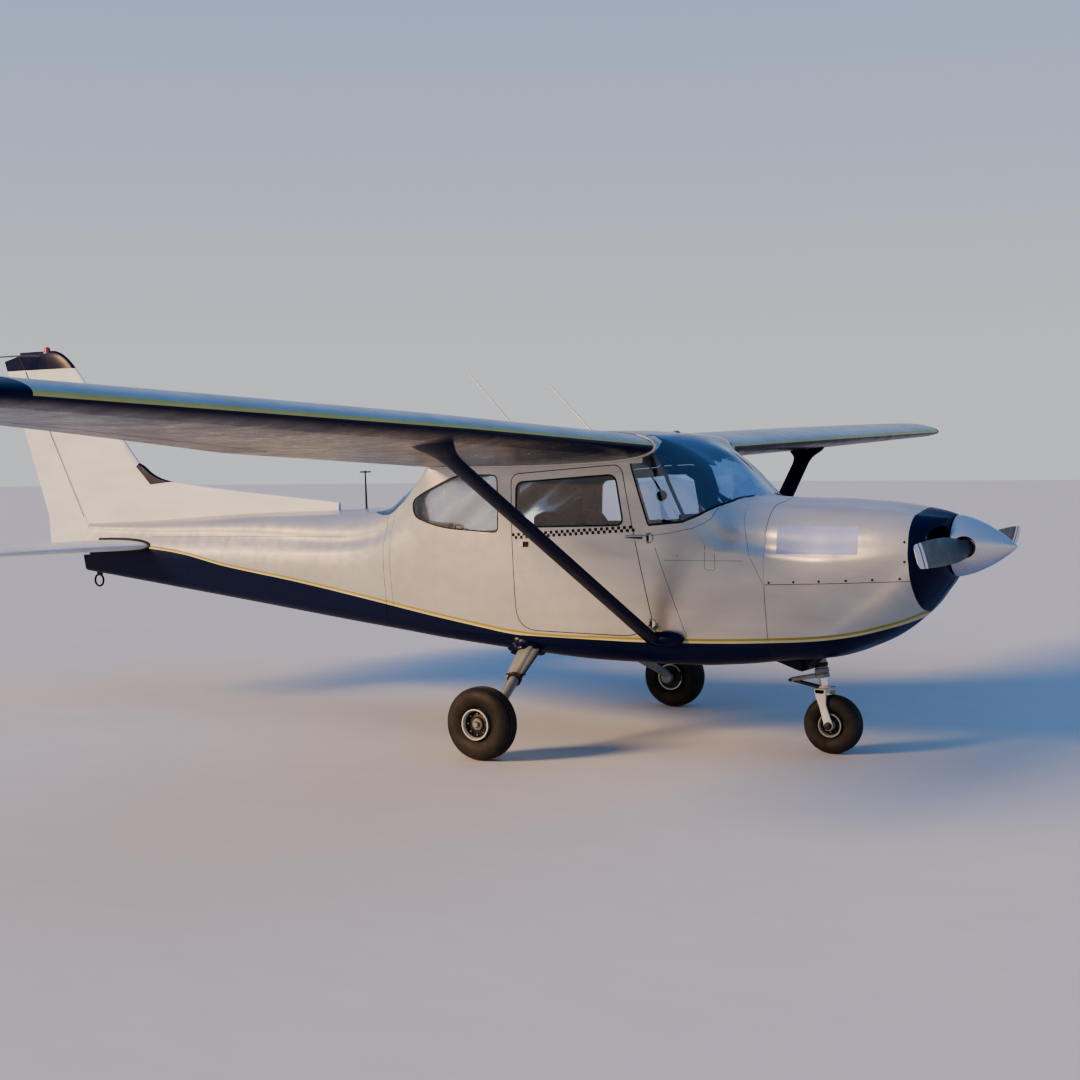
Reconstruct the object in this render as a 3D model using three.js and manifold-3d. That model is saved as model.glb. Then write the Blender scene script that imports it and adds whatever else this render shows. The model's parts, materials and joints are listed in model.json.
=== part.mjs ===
// A four-seat light aircraft: high strut-braced wing, one engine, fixed three-wheel gear.
// Millimetres. +X points forward, +Y to the aircraft's left, +Z up, and the ground is z = 0.
// Inside the group, x is measured from a point just ahead of the firewall, so most of it is negative.
import * as THREE from 'three';
import { mergeVertices } from 'three/addons/utils/BufferGeometryUtils.js';
import Module from 'manifold-3d';

const wasm = await Module();
wasm.setup();

// Driving dimensions
const originX = 2865;          // where x is zero, ahead of the middle of the aircraft's length
const seat = 0.3;              // gap between two pieces that touch
const clearance = 6;           // gap round a piece that moves
const wallThickness = 40;      // cabin walls and doors
const skinThickness = 12;      // tail cone
const cowlThickness = 8;
const glassThickness = 6;
const firewallThickness = 8;
const firewallBack = -36;      // rear face of the firewall, front end of the cabin walls
const firewallFront = firewallBack + firewallThickness;
const far = 3000;              // far enough to cut right through

const floorTop = 655;          // cabin floor
const ceilingZ = (x) => 1772 + 0.0411 * (x + 700); // where the side walls meet the roof panel
const bulkheadX = -2760;       // back of the cabin, front of the tail cone
const tailEndX = -5985;
const cowlFrontX = 788;
const cowlSplit = [[0, 1030], [cowlFrontX, 1072]]; // x and z of the line between the two cowls

const propCentre = [1020, 0, 1258];
const propRadius = 972;
const spinnerRadius = 175;
const spinnerBackX = 945;
const spinnerTipX = 1279;

const wheelX = -1470;
const wheelY = 1270;
const mainTyre = { radius: 218, width: 156, rim: 90, bore: 20 };
const noseTyre = { radius: 176, width: 126, rim: 70, bore: 13 };
const noseWheelX = 205;
const wheelSides = 28;

const rudderHinge = { x: -6034, z: 1286, slope: -0.564 }; // slope is the change of x with height
const rudderLow = 1050;
const rudderHigh = 2655;
const rudderSocket = 1070;     // how high the rudder's lower pin reaches into it
const elevatorHinge = { x: -5860, z: 1130 };
const elevatorTube = 14;       // radius of the tube that joins the two halves
const flapHingeChord = 0.775;  // share of the chord ahead of the hinge
const aileronHingeChord = 0.8;

const paint = {
  silver: { color: 0xb9bcc0, metalness: 0.7, roughness: 0.35 },
  navy: { color: 0x131f47, metalness: 0.3, roughness: 0.3 },
  white: { color: 0xe4e4e0, metalness: 0.0, roughness: 0.4 },
  glass: { color: 0x3a4650, metalness: 0.0, roughness: 0.08 },
  rubber: { color: 0x1a1a1b, metalness: 0.0, roughness: 0.85 },
  bare: { color: 0x9a9a98, metalness: 0.8, roughness: 0.4 },
  iron: { color: 0x4c4c4e, metalness: 0.6, roughness: 0.6 },
  cloth: { color: 0x2c2d31, metalness: 0.0, roughness: 0.9 },
  panel: { color: 0x222326, metalness: 0.1, roughness: 0.7 },
  blade: { color: 0x6c7074, metalness: 0.4, roughness: 0.5 },
};

// Cross sections of the body, nose first: x, lowest z, highest z, half width at the lower corner,
// at the belt and at the upper corner, belt z, radius of the lower and the upper corner, and crown.
// The cowl's lower corner also has its own height, and a bend that flattens it above one
const bodySections = [
  [0, 565, 1528, 430, 505, 480, 1180, 140, 250, 30],
  [-215, 538, 1545, 452, 521, 505, 1202, 129, 240, 25],
  [-310, 530, 1651, 460, 529, 506, 1215, 125, 320, 40],
  [-440, 520, 1780, 470, 538, 512, 1230, 120, 312, 45],
  [-590, 517, 1860, 480, 546, 532, 1240, 115, 266, 30],
  [-740, 515, 1920, 490, 552, 556.5, 1250, 110, 110, 15],
  [-1100, 515, 1943, 495, 555, 556.5, 1250, 110, 40, 8],
  [-1720, 545, 1884, 490, 552, 556.5, 1250, 110, 40, 8],
  [-2345, 590, 1762, 475, 535, 548, 1240, 110, 60, 10],
  [-2480, 602, 1682, 463, 520, 500, 1220, 108, 120, 14],
  [-2640, 617, 1592, 449, 503, 455, 1195, 105, 160, 20],
  [-2850, 635, 1475, 427, 468, 420, 1165, 102, 180, 24],
  [-3097, 655, 1440, 400, 430, 380, 1130, 100, 190, 25],
  [-4200, 750, 1392, 270, 300, 235, 1090, 85, 130, 20],
  [-5310, 850, 1334, 165, 195, 130, 1090, 60, 90, 15],
  [-6000, 912, 1300, 95, 115, 70, 1090, 35, 50, 8],
];
const cowlSections = [
  [cowlFrontX, 873, 1475, 398, 408, 403, 1225, 350, 180, 30, 300, 1.2],
  [600, 726, 1504, 395, 462, 450, 1190, 310, 220, 35, 290, 1.12],
  [450, 654, 1514, 400, 484, 466, 1170, 250, 240, 35, 240, 1.06],
  [300, 600, 1524, 412, 500, 480, 1160, 180, 260, 35, 180, 1],
  ...bodySections.slice(0, 2),
];
const noseBowlSections = [
  [940, 1092, 1433, 190, 205, 195, 1260, 175, 150, 8, 150, 1.1],
  [925, 1058, 1441, 262, 285, 272, 1245, 235, 165, 15, 170, 1.15],
  [870, 980, 1458, 330, 360, 350, 1230, 290, 175, 25, 225, 1.2],
  cowlSections[0],
];

// Wing sections from root to tip: y, leading edge x and z, chord, nose-up angle, thickness share
const wingSections = [
  [557.3, -700, 1838, 1630, 4.0, 0.113],
  [2540, -700, 1913, 1630, 3.6, 0.106],
  [5220, -841, 2003, 1118, 1.0, 0.115],
];
const wingTipSections = [
  [5220 + seat, -841, 2003, 1118, 1.0, 0.115],
  [5340, -862, 2005, 1085, 1.0, 0.102],
  [5420, -915, 1998, 985, 1.0, 0.082],
  [5460, -1010, 1987, 780, 1.0, 0.05],
];
// Tailplane sections: y, leading edge x, chord, thickness share
const tailplaneSections = [
  [0, -5190, 1115, 0.07],
  [1660, -5365, 850, 0.065],
  [1725, -5440, 700, 0.05],
];
const flapSpan = [630, 2560];
const flapHingeRise = 12;      // the flap's axis above the lower skin
const aileronSpan = [2592, 5150];
const elevatorSpan = [158, 1725 + seat];

// Side-view outlines, x and z, with the radius of each corner
const doorOutline = [
  [-739, 778, 50], [-925, 1730, 60], [-1700, 1672, 60], [-1700, 693, 150], [-868, 693, 70],
];
const doorHinges = [[-741, 525, 775], [-741, 566, 1291]];
const doorWindowOutline = [[-912, 1368, 50], [-965, 1668, 50], [-1662, 1620, 50], [-1668, 1345, 50]];
const quarterWindowOutline = [
  [-1808, 1307, 40], [-1808, 1668, 45], [-2120, 1668, 90], [-2510, 1500, 60], [-2480, 1400, 60],
  [-2250, 1330, 200],
];
const windscreenOutline = [
  [-205, 1556, 0], [-228, 1542, 0], [-280, 1510, 30], [-330, 1490, 40], [-440, 1430, 40], [-530, 1390, 40],
  [-742, 1369, 20], [-862, 1737, 0], [-780, 1739, 0], [-780, 2200, 0], [-205, 2200, 0],
];
const rearWindowOutline = [
  [-2430, 1800, 0], [-2462, 1700, 20], [-2560, 1530, 60], [-2740, 1405, 60], [-2840, 1398, 40],
  [-3085, 1434, 0], [-3085, 1800, 0],
];

// Solids, joins and cuts
const solidOf = (geometry) => {
  const bare = geometry.clone();
  bare.deleteAttribute('normal');
  bare.deleteAttribute('uv');
  const merged = mergeVertices(bare, 1e-3);
  return new wasm.Manifold(new wasm.Mesh({
    numProp: 3,
    vertProperties: new Float32Array(merged.attributes.position.array),
    triVerts: new Uint32Array(merged.index.array),
  }));
};

const geometryOf = (solid) => {
  const mesh = solid.getMesh();
  const geometry = new THREE.BufferGeometry();
  geometry.setAttribute('position', new THREE.BufferAttribute(mesh.vertProperties, 3));
  geometry.setIndex(new THREE.BufferAttribute(mesh.triVerts, 1));
  geometry.computeVertexNormals();
  return geometry;
};

const join = (...solids) => solids.reduce((whole, next) => whole.add(next));
const cut = (solid, ...tools) => tools.reduce((rest, tool) => rest.subtract(tool), solid);
const keep = (solid, ...regions) => regions.reduce((rest, region) => rest.intersect(region), solid);

// A closed loft through rings of equal count; drop is the axis that the end caps leave out
const loft = (rings, drop) => {
  const count = rings[0].length;
  const points = rings.flat();
  const faces = [];
  for (let ring = 0; ring + 1 < rings.length; ring += 1) {
    for (let i = 0; i < count; i += 1) {
      const a = ring * count + i;
      const b = ring * count + (i + 1) % count;
      // The diagonals mirror each other, so that a ring that mirrors itself gives a loft that does too
      if (i < count / 2) faces.push([a, b, b + count], [a, b + count, a + count]);
      else faces.push([a, b, a + count], [b, b + count, a + count]);
    }
  }
  const addCap = (ring, first, forward) => {
    const outline = ring.map((p) => new THREE.Vector2(...p.filter((value, axis) => axis !== drop)));
    const turn = Math.sign(THREE.ShapeUtils.area(outline));
    THREE.ShapeUtils.triangulateShape(outline, []).forEach(([a, b, c]) => {
      const same = Math.sign(THREE.ShapeUtils.area([outline[a], outline[b], outline[c]])) === turn;
      faces.push(same === forward ? [first + a, first + b, first + c] : [first + a, first + c, first + b]);
    });
  };
  addCap(rings[0], 0, false);
  addCap(rings[rings.length - 1], points.length - count, true);
  const corner = (i) => new THREE.Vector3(...points[i]);
  const volume = faces.reduce((sum, [a, b, c]) => sum + corner(a).dot(corner(b).cross(corner(c))), 0);
  const geometry = new THREE.BufferGeometry();
  geometry.setAttribute('position', new THREE.Float32BufferAttribute(points.flat(), 3));
  geometry.setIndex(faces.flatMap(([a, b, c]) => (volume > 0 ? [a, b, c] : [a, c, b])));
  return solidOf(geometry);
};

// A prism: a flat outline pushed along one axis
const prism = (outline, axis, from, to) => {
  const place = (value) => outline.map((point) => {
    const corner = [point[0], point[1]];
    corner.splice(axis, 0, value);
    return corner;
  });
  return loft([place(from), place(to)], axis);
};
const sidePrism = (outline, from = -far, to = far) => prism(outline, 1, from, to);

const box = (x0, x1, y0, y1, z0, z1) => {
  const geometry = new THREE.BoxGeometry(x1 - x0, y1 - y0, z1 - z0);
  geometry.translate((x0 + x1) / 2, (y0 + y1) / 2, (z0 + z1) / 2);
  return solidOf(geometry);
};

// A round bar or cone between two points
const bar = (from, to, radius, endRadius = radius, sides = 16) => {
  const start = new THREE.Vector3(...from);
  const along = new THREE.Vector3(...to).sub(start);
  const geometry = new THREE.CylinderGeometry(endRadius, radius, along.length(), sides);
  geometry.translate(0, along.length() / 2, 0);
  const turn = new THREE.Quaternion().setFromUnitVectors(new THREE.Vector3(0, 1, 0), along.normalize());
  geometry.applyQuaternion(turn);
  geometry.translate(...from);
  return solidOf(geometry);
};

// A bent round tube through a few points
const tube = (points, radius, steps = 12, sides = 8) => {
  const path = new THREE.CatmullRomCurve3(points.map((p) => new THREE.Vector3(...p)), false, 'centripetal');
  const section = new THREE.Shape();
  section.absellipse(0, 0, radius, radius, 0, Math.PI * 2);
  const ring = new THREE.Shape(section.getSpacedPoints(sides).slice(0, sides));
  return solidOf(new THREE.ExtrudeGeometry(ring, { steps, bevelEnabled: false, extrudePath: path }));
};

const mirrored = (solid) => {
  const geometry = geometryOf(solid);
  geometry.scale(1, -1, 1);
  const index = geometry.index.array;
  const turned = Array.from(index, (vertex, i) => index[i - (i % 3) + 2 - (i % 3)]);
  geometry.setIndex(turned);
  return solidOf(geometry);
};

// An outline with each corner rounded by its third number
const rounded = (outline, grow = 0, steps = 3) => {
  const count = outline.length;
  const shape = [];
  outline.forEach(([x, z, radius = 0], i) => {
    const before = new THREE.Vector2(...outline[(i + count - 1) % count].slice(0, 2)).sub(new THREE.Vector2(x, z));
    const after = new THREE.Vector2(...outline[(i + 1) % count].slice(0, 2)).sub(new THREE.Vector2(x, z));
    if (radius === 0) {
      shape.push([x, z]);
      return;
    }
    const reach = Math.min(radius, before.length() * 0.48, after.length() * 0.48);
    const start = before.normalize().multiplyScalar(reach);
    const end = after.normalize().multiplyScalar(reach);
    for (let step = 0; step <= steps; step += 1) {
      const t = step / steps;
      shape.push([x + start.x * (1 - t) ** 2 + end.x * t ** 2, z + start.y * (1 - t) ** 2 + end.y * t ** 2]);
    }
  });
  return grow === 0 ? shape : offsetOutline(shape, grow);
};

// An outline moved outwards by an equal distance all round
const offsetOutline = (shape, distance) => {
  const corners = shape.map(([x, z]) => new THREE.Vector2(x, z));
  const side = Math.sign(THREE.ShapeUtils.area(corners));
  const normal = (from, to) => new THREE.Vector2(to.y - from.y, from.x - to.x).normalize().multiplyScalar(side);
  return corners.map((corner, i) => {
    const previous = corners[(i + corners.length - 1) % corners.length];
    const next = corners[(i + 1) % corners.length];
    const first = normal(previous, corner);
    const second = normal(corner, next);
    const middle = first.clone().add(second).normalize();
    const reach = distance / Math.max(0.4, middle.dot(first));
    return [corner.x + middle.x * reach, corner.y + middle.y * reach];
  });
};

// Body of the aircraft
const bodyRing = (section, grow) => {
  const [x, low, high, lowHalf, beltHalf, topHalf, beltZ, lowRadius, topRadius, crown] = section;
  const [lowRise = lowRadius, lowBend = 1] = section.slice(10);
  const half = [[0, low - grow]];
  const arc = (centreY, centreZ, across, up, bend, from, steps) => {
    for (let step = 0; step <= steps; step += 1) {
      const angle = from + (Math.PI / 2) * (step / steps);
      const [y, z] = [Math.cos(angle), Math.sin(angle)].map((value) => Math.sign(value) * Math.abs(value) ** bend);
      half.push([centreY + across * y, centreZ + up * z]);
    }
  };
  const inner = Math.max(lowRadius + grow, 6);
  const rise = Math.max(lowRise + grow, 6);
  const outer = Math.max(topRadius + grow, 6);
  arc(lowHalf + grow - inner, low + 6 - grow + rise, inner, rise, lowBend, -Math.PI / 2, 4);
  half.push([beltHalf + grow, beltZ]);
  arc(topHalf + grow - outer, high + grow - crown - outer, outer, outer, 1, 0, 5);
  half.push([0, high + grow]);
  const otherSide = half.slice(1, -1).reverse().map(([y, z]) => [-y, z]);
  return [...half, ...otherSide].map(([y, z]) => [x, y, z]);
};

// The body as a solid; the ends can run on lengthways so that it cuts right through a shell
const bodyLoft = (sections, grow = 0, stretch = 0) => {
  const rings = sections.map((section) => bodyRing(section, grow));
  if (stretch > 0) {
    rings.unshift(rings[0].map(([x, y, z]) => [x + stretch, y, z]));
    rings.push(rings[rings.length - 1].map(([x, y, z]) => [x - stretch, y, z]));
  }
  return loft(rings, 0);
};

const body = bodyLoft(bodySections);
const bodyProud = bodyLoft(bodySections, seat);
const bodyInside = bodyLoft(bodySections, -wallThickness, 20);
const bodyUnderGlass = bodyLoft(bodySections, -glassThickness, 20);
const between = (x0, x1) => box(x0, x1, -far, far, -far, far);
const belowZ = (z) => box(-2 * far - far, far, -far, far, -far, z);
const aboveZ = (z) => box(-2 * far - far, far, -far, far, z, far);
const leftHalf = box(-3 * far, far, 0, far, -far, far);

const makeFirewall = () => keep(body, between(firewallBack, firewallFront));

const makeFloor = () => keep(body, between(bulkheadX, firewallBack - seat), belowZ(floorTop));

// Everything above or below the line where the roof panel meets the side walls
const ceilingSide = (edge, gap) => sidePrism([
  [far, ceilingZ(far) + gap], [-far, ceilingZ(-far) + gap], [-far, edge], [far, edge],
]);
const windscreenHole = sidePrism(rounded(windscreenOutline));
const rearWindowHole = sidePrism(rounded(rearWindowOutline));

// One knuckle of a door hinge: a short round on the hinge line, with an arm to its panel
const alongHinge = ([x, y, z], distance) => {
  const along = new THREE.Vector3(...doorHinges[1]).sub(new THREE.Vector3(...doorHinges[0])).normalize();
  return new THREE.Vector3(x, y, z).addScaledVector(along, distance).toArray();
};
const hingeRound = (at, from, to) => bar(alongHinge(at, from), alongHinge(at, to), 8, 8, 8);
const doorKnuckle = (at, from, to, armX) => {
  const [x, y, z] = alongHinge(at, (from + to) / 2);
  return join(hingeRound(at, from, to), bar([x, y, z], [x + armX, y - 30, z], 6, 6, 6));
};

const makeSideWall = () => {
  const wall = keep(body, between(bulkheadX, firewallBack - seat), aboveZ(floorTop + seat),
    box(-far, far, seat / 2, far, 0, far));
  const doorHole = sidePrism(rounded(doorOutline, clearance), 0, far);
  const doorSill = box(-1600, -850, 0, far, 684, 720);
  const quarterHole = sidePrism(rounded(quarterWindowOutline), 0, far);
  const shell = cut(wall, bodyInside, windscreenHole, rearWindowHole, doorHole, doorSill, quarterHole);
  const knuckles = doorHinges.flatMap((at) => [doorKnuckle(at, -30, -15.5, 26), doorKnuckle(at, 15.5, 30, 26)]);
  return join(keep(shell, ceilingSide(-far, 0)), ...knuckles);
};

const makeRoof = () => {
  const shell = cut(keep(body, between(-2600, -780)), bodyInside, rearWindowHole);
  return keep(shell, ceilingSide(far, seat));
};

const makeWindow = (outline, region) => {
  const pane = cut(keep(body, sidePrism(offsetOutline(rounded(outline), -seat))), bodyUnderGlass);
  return keep(pane, region);
};

const makeDoor = () => {
  const panel = cut(keep(body, sidePrism(rounded(doorOutline), 100, far)), bodyInside);
  const window = sidePrism(rounded(doorWindowOutline), 0, far);
  const handle = box(-1640, -1540, 540, 566, 1205, 1222);
  const [lowHinge, highHinge] = doorHinges;
  const strap = sidePrism([[-742, 1305], [-742, 1277], [-948, 1285], [-948, 1297]], 559, 567);
  const strapFoot = box(-940, -852, 545, 560, 1283, 1299);
  const hinges = [doorKnuckle(lowHinge, -15, 15, -26), hingeRound(highHinge, -15, 15), strap, strapFoot];
  return join(cut(panel, window), handle, ...hinges);
};

const makeTailCone = () => {
  const shell = keep(body, between(tailEndX, bulkheadX - seat));
  const inside = keep(bodyLoft(bodySections, -skinThickness, 20), between(tailEndX + skinThickness, far));
  const shelf = keep(body, box(tailEndX, -5800, -far, far, 1012, rudderLow - clearance));
  const { x, z } = elevatorHinge;
  const tubeHole = bar([x, -300, z], [x, 300, z], elevatorTube + 0.6, elevatorTube + 0.6, 24);
  const pinFoot = [rudderHingeX(1015), 0, 1015];
  const pinTop = [rudderHingeX(rudderSocket - 0.5), 0, rudderSocket - 0.5];
  const tieDown = cut(box(-5945, -5885, -6, 6, 785, 915), bar([-5915, -20, 815], [-5915, 20, 815], 15, 15, 12));
  const skin = cut(join(cut(shell, inside), shelf), rearWindowHole, rudderRegion(clearance, rudderLow, 2000), tubeHole);
  return join(skin, bar(pinFoot, pinTop, 9, 9, 12), tieDown);
};

// Engine cowling
const cowl = bodyLoft(cowlSections);
const cowlInside = bodyLoft(cowlSections, -cowlThickness, 20);
const cowlRegion = (upper) => {
  const [[backX, backZ], [frontX, frontZ]] = cowlSplit;
  const edge = upper ? far : -far;
  const gap = upper ? seat : 0;
  return sidePrism([[backX - 50, backZ + gap], [frontX + 50, frontZ + gap], [frontX + 50, edge], [backX - 50, edge]]);
};
const makeCowl = (upper) => {
  const shell = keep(cut(cowl, cowlInside), between(firewallFront + seat, cowlFrontX), cowlRegion(upper));
  return upper ? shell : cut(shell, box(-50, 270, -165, 165, 400, 700));
};

const makeNoseBowl = () => {
  const outside = bodyLoft(noseBowlSections);
  const inside = bodyLoft(noseBowlSections.map(([x, ...rest]) => [x - cowlThickness, ...rest]), -cowlThickness);
  const shell = cut(outside, inside, between(-far, cowlFrontX + seat));
  const shaftHole = bar([700, 0, propCentre[2]], [1100, 0, propCentre[2]], 105, 105, 16);
  const inlets = [-1, 1].map((sign) => {
    const inlet = new THREE.CylinderGeometry(1, 1, 300, 14);
    inlet.rotateZ(Math.PI / 2);
    inlet.scale(1, 88, 72);
    inlet.translate(960, sign * 258, propCentre[2] + 12);
    return solidOf(inlet);
  });
  return cut(shell, shaftHole, ...inlets);
};

const sumpLow = 760;           // underside of the engine, where the exhaust pipe starts
const makeEngine = () => {
  const mounts = [[-280, 1000], [280, 1000], [-280, 1295], [280, 1295]];
  return join(
    prism([[70, -345], [480, -335], [690, -225], [690, 225], [480, 335], [70, 345]], 2, 965, 1355),
    box(70, 490, -260, 260, sumpLow, 1000),
    bar([690, 0, propCentre[2]], [735, 0, propCentre[2]], 80, 80, 20),
    ...mounts.map(([y, z]) => bar([firewallFront + seat, y, z], [80, y, z], 28, 28, 12)),
  );
};
const makeExhaust = () => {
  const pipe = tube([[230, -110, 860], [225, -110, 700], [190, -112, 600], [150, -114, 520]], 27, 8, 10);
  return keep(pipe, belowZ(sumpLow - seat));
};

// Wing
const airfoil = (thickness, steps = 9) => {
  const camber = 0.02;
  const camberPlace = 0.4;
  const line = (x) => (x < camberPlace
    ? (camber / camberPlace ** 2) * (2 * camberPlace * x - x * x)
    : (camber / (1 - camberPlace) ** 2) * (1 - 2 * camberPlace + 2 * camberPlace * x - x * x));
  const half = (x) => 5 * thickness * (0.2969 * Math.sqrt(x) - 0.126 * x - 0.3516 * x ** 2
    + 0.2843 * x ** 3 - 0.1015 * x ** 4) + 0.0008;
  const upper = [];
  const lower = [];
  for (let i = 0; i <= steps; i += 1) {
    const x = (1 - Math.cos((Math.PI * i) / steps)) / 2;
    upper.push([x, line(x) + half(x)]);
    if (i > 0) lower.push([x, line(x) - half(x)]);
  }
  return [...upper.reverse(), ...lower];
};

const onChord = ([y, leadX, leadZ, chord, angle], [along, up]) => {
  const turn = THREE.MathUtils.degToRad(angle);
  return [
    leadX - chord * (along * Math.cos(turn) + up * Math.sin(turn)),
    y,
    leadZ - chord * (along * Math.sin(turn) - up * Math.cos(turn)),
  ];
};
const wingRing = (section) => airfoil(section[5]).map((point) => onChord(section, point));

const sectionAt = (sections, y) => {
  const next = Math.max(1, sections.findIndex((section) => section[0] >= y - 1e-6));
  const t = (y - sections[next - 1][0]) / (sections[next][0] - sections[next - 1][0]);
  return sections[next - 1].map((value, i) => value + (sections[next][i] - value) * t);
};

// Height of the wing at a share of the chord: upper skin, lower skin and half the depth
const wingDepth = (y, share) => {
  const section = sectionAt(wingSections, y);
  const outline = airfoil(section[5], 40);
  const near = (part) => part.reduce((best, p) => (Math.abs(p[0] - share) < Math.abs(best[0] - share) ? p : best));
  const upper = onChord(section, near(outline.slice(0, 41)));
  const lower = onChord(section, near(outline.slice(41)));
  return { upper, lower, depth: upper[2] - lower[2] };
};

// What lies behind a hinge line: a round nose about the hinge and everything aft of it, with ends
// square to the line. Stations hold y, the hinge's x and z, and the radius of the nose
const behindHinge = (stations, steps = 8) => {
  const [[y0, x0, z0], [y1, x1, z1]] = stations;
  const slopeX = (x1 - x0) / (y1 - y0);
  const slopeZ = (z1 - z0) / (y1 - y0);
  return loft(stations.map(([y, x, z, radius]) => {
    const offsets = [[-900, -400], [-900, 400], [0, 400]];
    for (let step = 0; step <= steps; step += 1) {
      const angle = Math.PI / 2 - (Math.PI * step) / steps;
      offsets.push([radius * Math.cos(angle), radius * Math.sin(angle)]);
    }
    offsets.push([0, -400]);
    return offsets.map(([dx, dz]) => [x + dx, y - slopeX * dx - slopeZ * dz, z + dz]);
  }), 1);
};

// The axis of a wing surface at a station: y, x, z, and the radius that reaches the upper skin
const flapAxisAt = (y) => {
  const { upper, lower, depth } = wingDepth(y, flapHingeChord);
  return [y, (upper[0] + lower[0]) / 2, lower[2] + flapHingeRise, depth - flapHingeRise];
};
const aileronAxisAt = (y) => {
  const { upper, lower, depth } = wingDepth(y, aileronHingeChord);
  return [y, (upper[0] + lower[0]) / 2, (upper[2] + lower[2]) / 2, depth / 2];
};

// The hinge line runs straight between the two ends of the span, and on past them by the gap
const alongAxis = (axisAt, [from, to], y) => {
  const start = axisAt(from);
  const end = axisAt(to);
  return start.map((value, i) => value + ((end[i] - value) * (y - from)) / (to - from));
};
const surfaceRegion = (axisAt, span, gap) => behindHinge([span[0] - gap, span[1] + gap].map((y) => {
  const [at, x, z, radius] = alongAxis(axisAt, span, y);
  return [at, x, z, radius + gap];
}));
const hingePins = (axisAt, span) => [[span[0] - 25, span[0] - 0.5], [span[1] + 0.5, span[1] + 16]].map((ends) => {
  const [from, to] = ends.map((y) => {
    const [at, x, z] = alongAxis(axisAt, span, y);
    return [x, at, z];
  });
  return bar(from, to, 7, 7, 12);
});
const flapRegion = (gap) => surfaceRegion(flapAxisAt, flapSpan, gap);
const aileronRegion = (gap) => surfaceRegion(aileronAxisAt, aileronSpan, gap);

const wingWhole = loft(wingSections.map(wingRing), 1);
const wingUnder = loft(wingSections.map(([y, x, z, ...rest]) => wingRing([y, x, z - seat, ...rest])), 1);
const makeWing = () => join(
  cut(wingWhole, flapRegion(clearance), aileronRegion(clearance)),
  ...hingePins(flapAxisAt, flapSpan),
  ...hingePins(aileronAxisAt, aileronSpan),
);
const makePitot = () => join(
  bar([-1250, 3000, 1800], [-1250, 3000, 1875], 10, 10, 10),
  bar([-1260, 3000, 1803], [-1120, 3000, 1803], 8, 8, 10),
);
const makeFlap = () => keep(wingWhole, flapRegion(0));
const makeAileron = () => keep(wingWhole, aileronRegion(0));
const makeWingTip = () => loft(wingTipSections.map(wingRing), 1);

// Lift strut: x, y, z of the section's middle, chord, depth, and how far the chord reaches aft
const strutFoot = [-728, 480, 656];
const strutTop = [-965, 2508, 1850];
const strutSections = [
  [0, 124, 46, 0],
  [0.93, 124, 46, 0],
  [0.99, 265, 80, 5],
  [1.03, 290, 90, 5],
];
const makeStrut = () => {
  const foot = new THREE.Vector3(...strutFoot);
  const along = new THREE.Vector3(...strutTop).sub(foot);
  const chordWay = new THREE.Vector3(1, 0, 0).projectOnPlane(along.clone().normalize()).normalize();
  const depthWay = new THREE.Vector3().crossVectors(along, chordWay).normalize();
  const rings = strutSections.map(([share, chord, depth, aft]) => {
    const ring = [];
    for (let i = 0; i < 12; i += 1) {
      const angle = (Math.PI * 2 * i) / 12;
      const point = foot.clone().addScaledVector(along, share)
        .addScaledVector(chordWay, (chord / 2) * Math.cos(angle) - aft)
        .addScaledVector(depthWay, (depth / 2) * Math.sin(angle));
      ring.push(point.toArray());
    }
    return ring;
  });
  const cuff = new THREE.SphereGeometry(1, 14, 8);
  cuff.scale(126, 52, 48);
  cuff.translate(strutFoot[0] + 68, 505, strutFoot[2] + 32);
  return cut(join(loft(rings, 1), solidOf(cuff)), bodyProud, wingUnder);
};

// Tail
const symmetric = (thickness, steps = 9) => {
  const half = (x) => 5 * thickness * (0.2969 * Math.sqrt(x) - 0.126 * x - 0.3516 * x ** 2
    + 0.2843 * x ** 3 - 0.1015 * x ** 4) + 0.0012;
  const side = [];
  for (let i = 0; i <= steps; i += 1) {
    const x = (1 - Math.cos((Math.PI * i) / steps)) / 2;
    side.push([x, half(x)]);
  }
  return [...side.slice().reverse(), ...side.slice(1).map(([x, depth]) => [x, -depth])];
};
const halfDepth = (thickness, chord, share) => chord * 5 * thickness * (0.2969 * Math.sqrt(share) - 0.126 * share
  - 0.3516 * share ** 2 + 0.2843 * share ** 3 - 0.1015 * share ** 4);

const finLeadX = (z) => -5322 - 0.902 * (z - 1604);
const finKneeZ = 1354;         // below it the trailing edge stands nearly upright
const finTrailX = (z) => -6495 - (z > finKneeZ ? 0.395 : 0.094) * (z - finKneeZ);
const rudderHingeX = (z) => rudderHinge.x + rudderHinge.slope * (z - rudderHinge.z);
const finThickness = 0.07;
const finRing = (z, inset = 0) => {
  const lead = finLeadX(z) - inset;
  const chord = lead - finTrailX(z) - inset / 2;
  const thickness = finThickness * (1 - inset / 250);
  return symmetric(thickness).map(([x, y]) => [lead - x * chord, y * chord, z]);
};
const finTop = 2532;
const finWhole = (low, high) => loft([finRing(low), finRing(finKneeZ), finRing(high)], 2);
const rudderStations = (gap, low, high) => [low - gap, high + gap].map((z) => {
  const chord = finLeadX(z) - finTrailX(z);
  const share = (finLeadX(z) - rudderHingeX(z)) / chord;
  return [z, rudderHingeX(z), 0, halfDepth(finThickness, chord, share) + 1 + gap];
});
const rudderRegion = (gap, low, high) => {
  const stations = rudderStations(gap, low, high);
  const rings = stations.map(([z, x, y, radius]) => {
    const ring = [[x - 900, -400, z], [x - 900, 400, z], [x, 400, z]];
    for (let step = 0; step <= 8; step += 1) {
      const angle = Math.PI / 2 - (Math.PI * step) / 8;
      ring.push([x + radius * Math.cos(angle), radius * Math.sin(angle), z]);
    }
    ring.push([x, -400, z]);
    return ring;
  });
  return loft(rings, 2);
};
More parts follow.
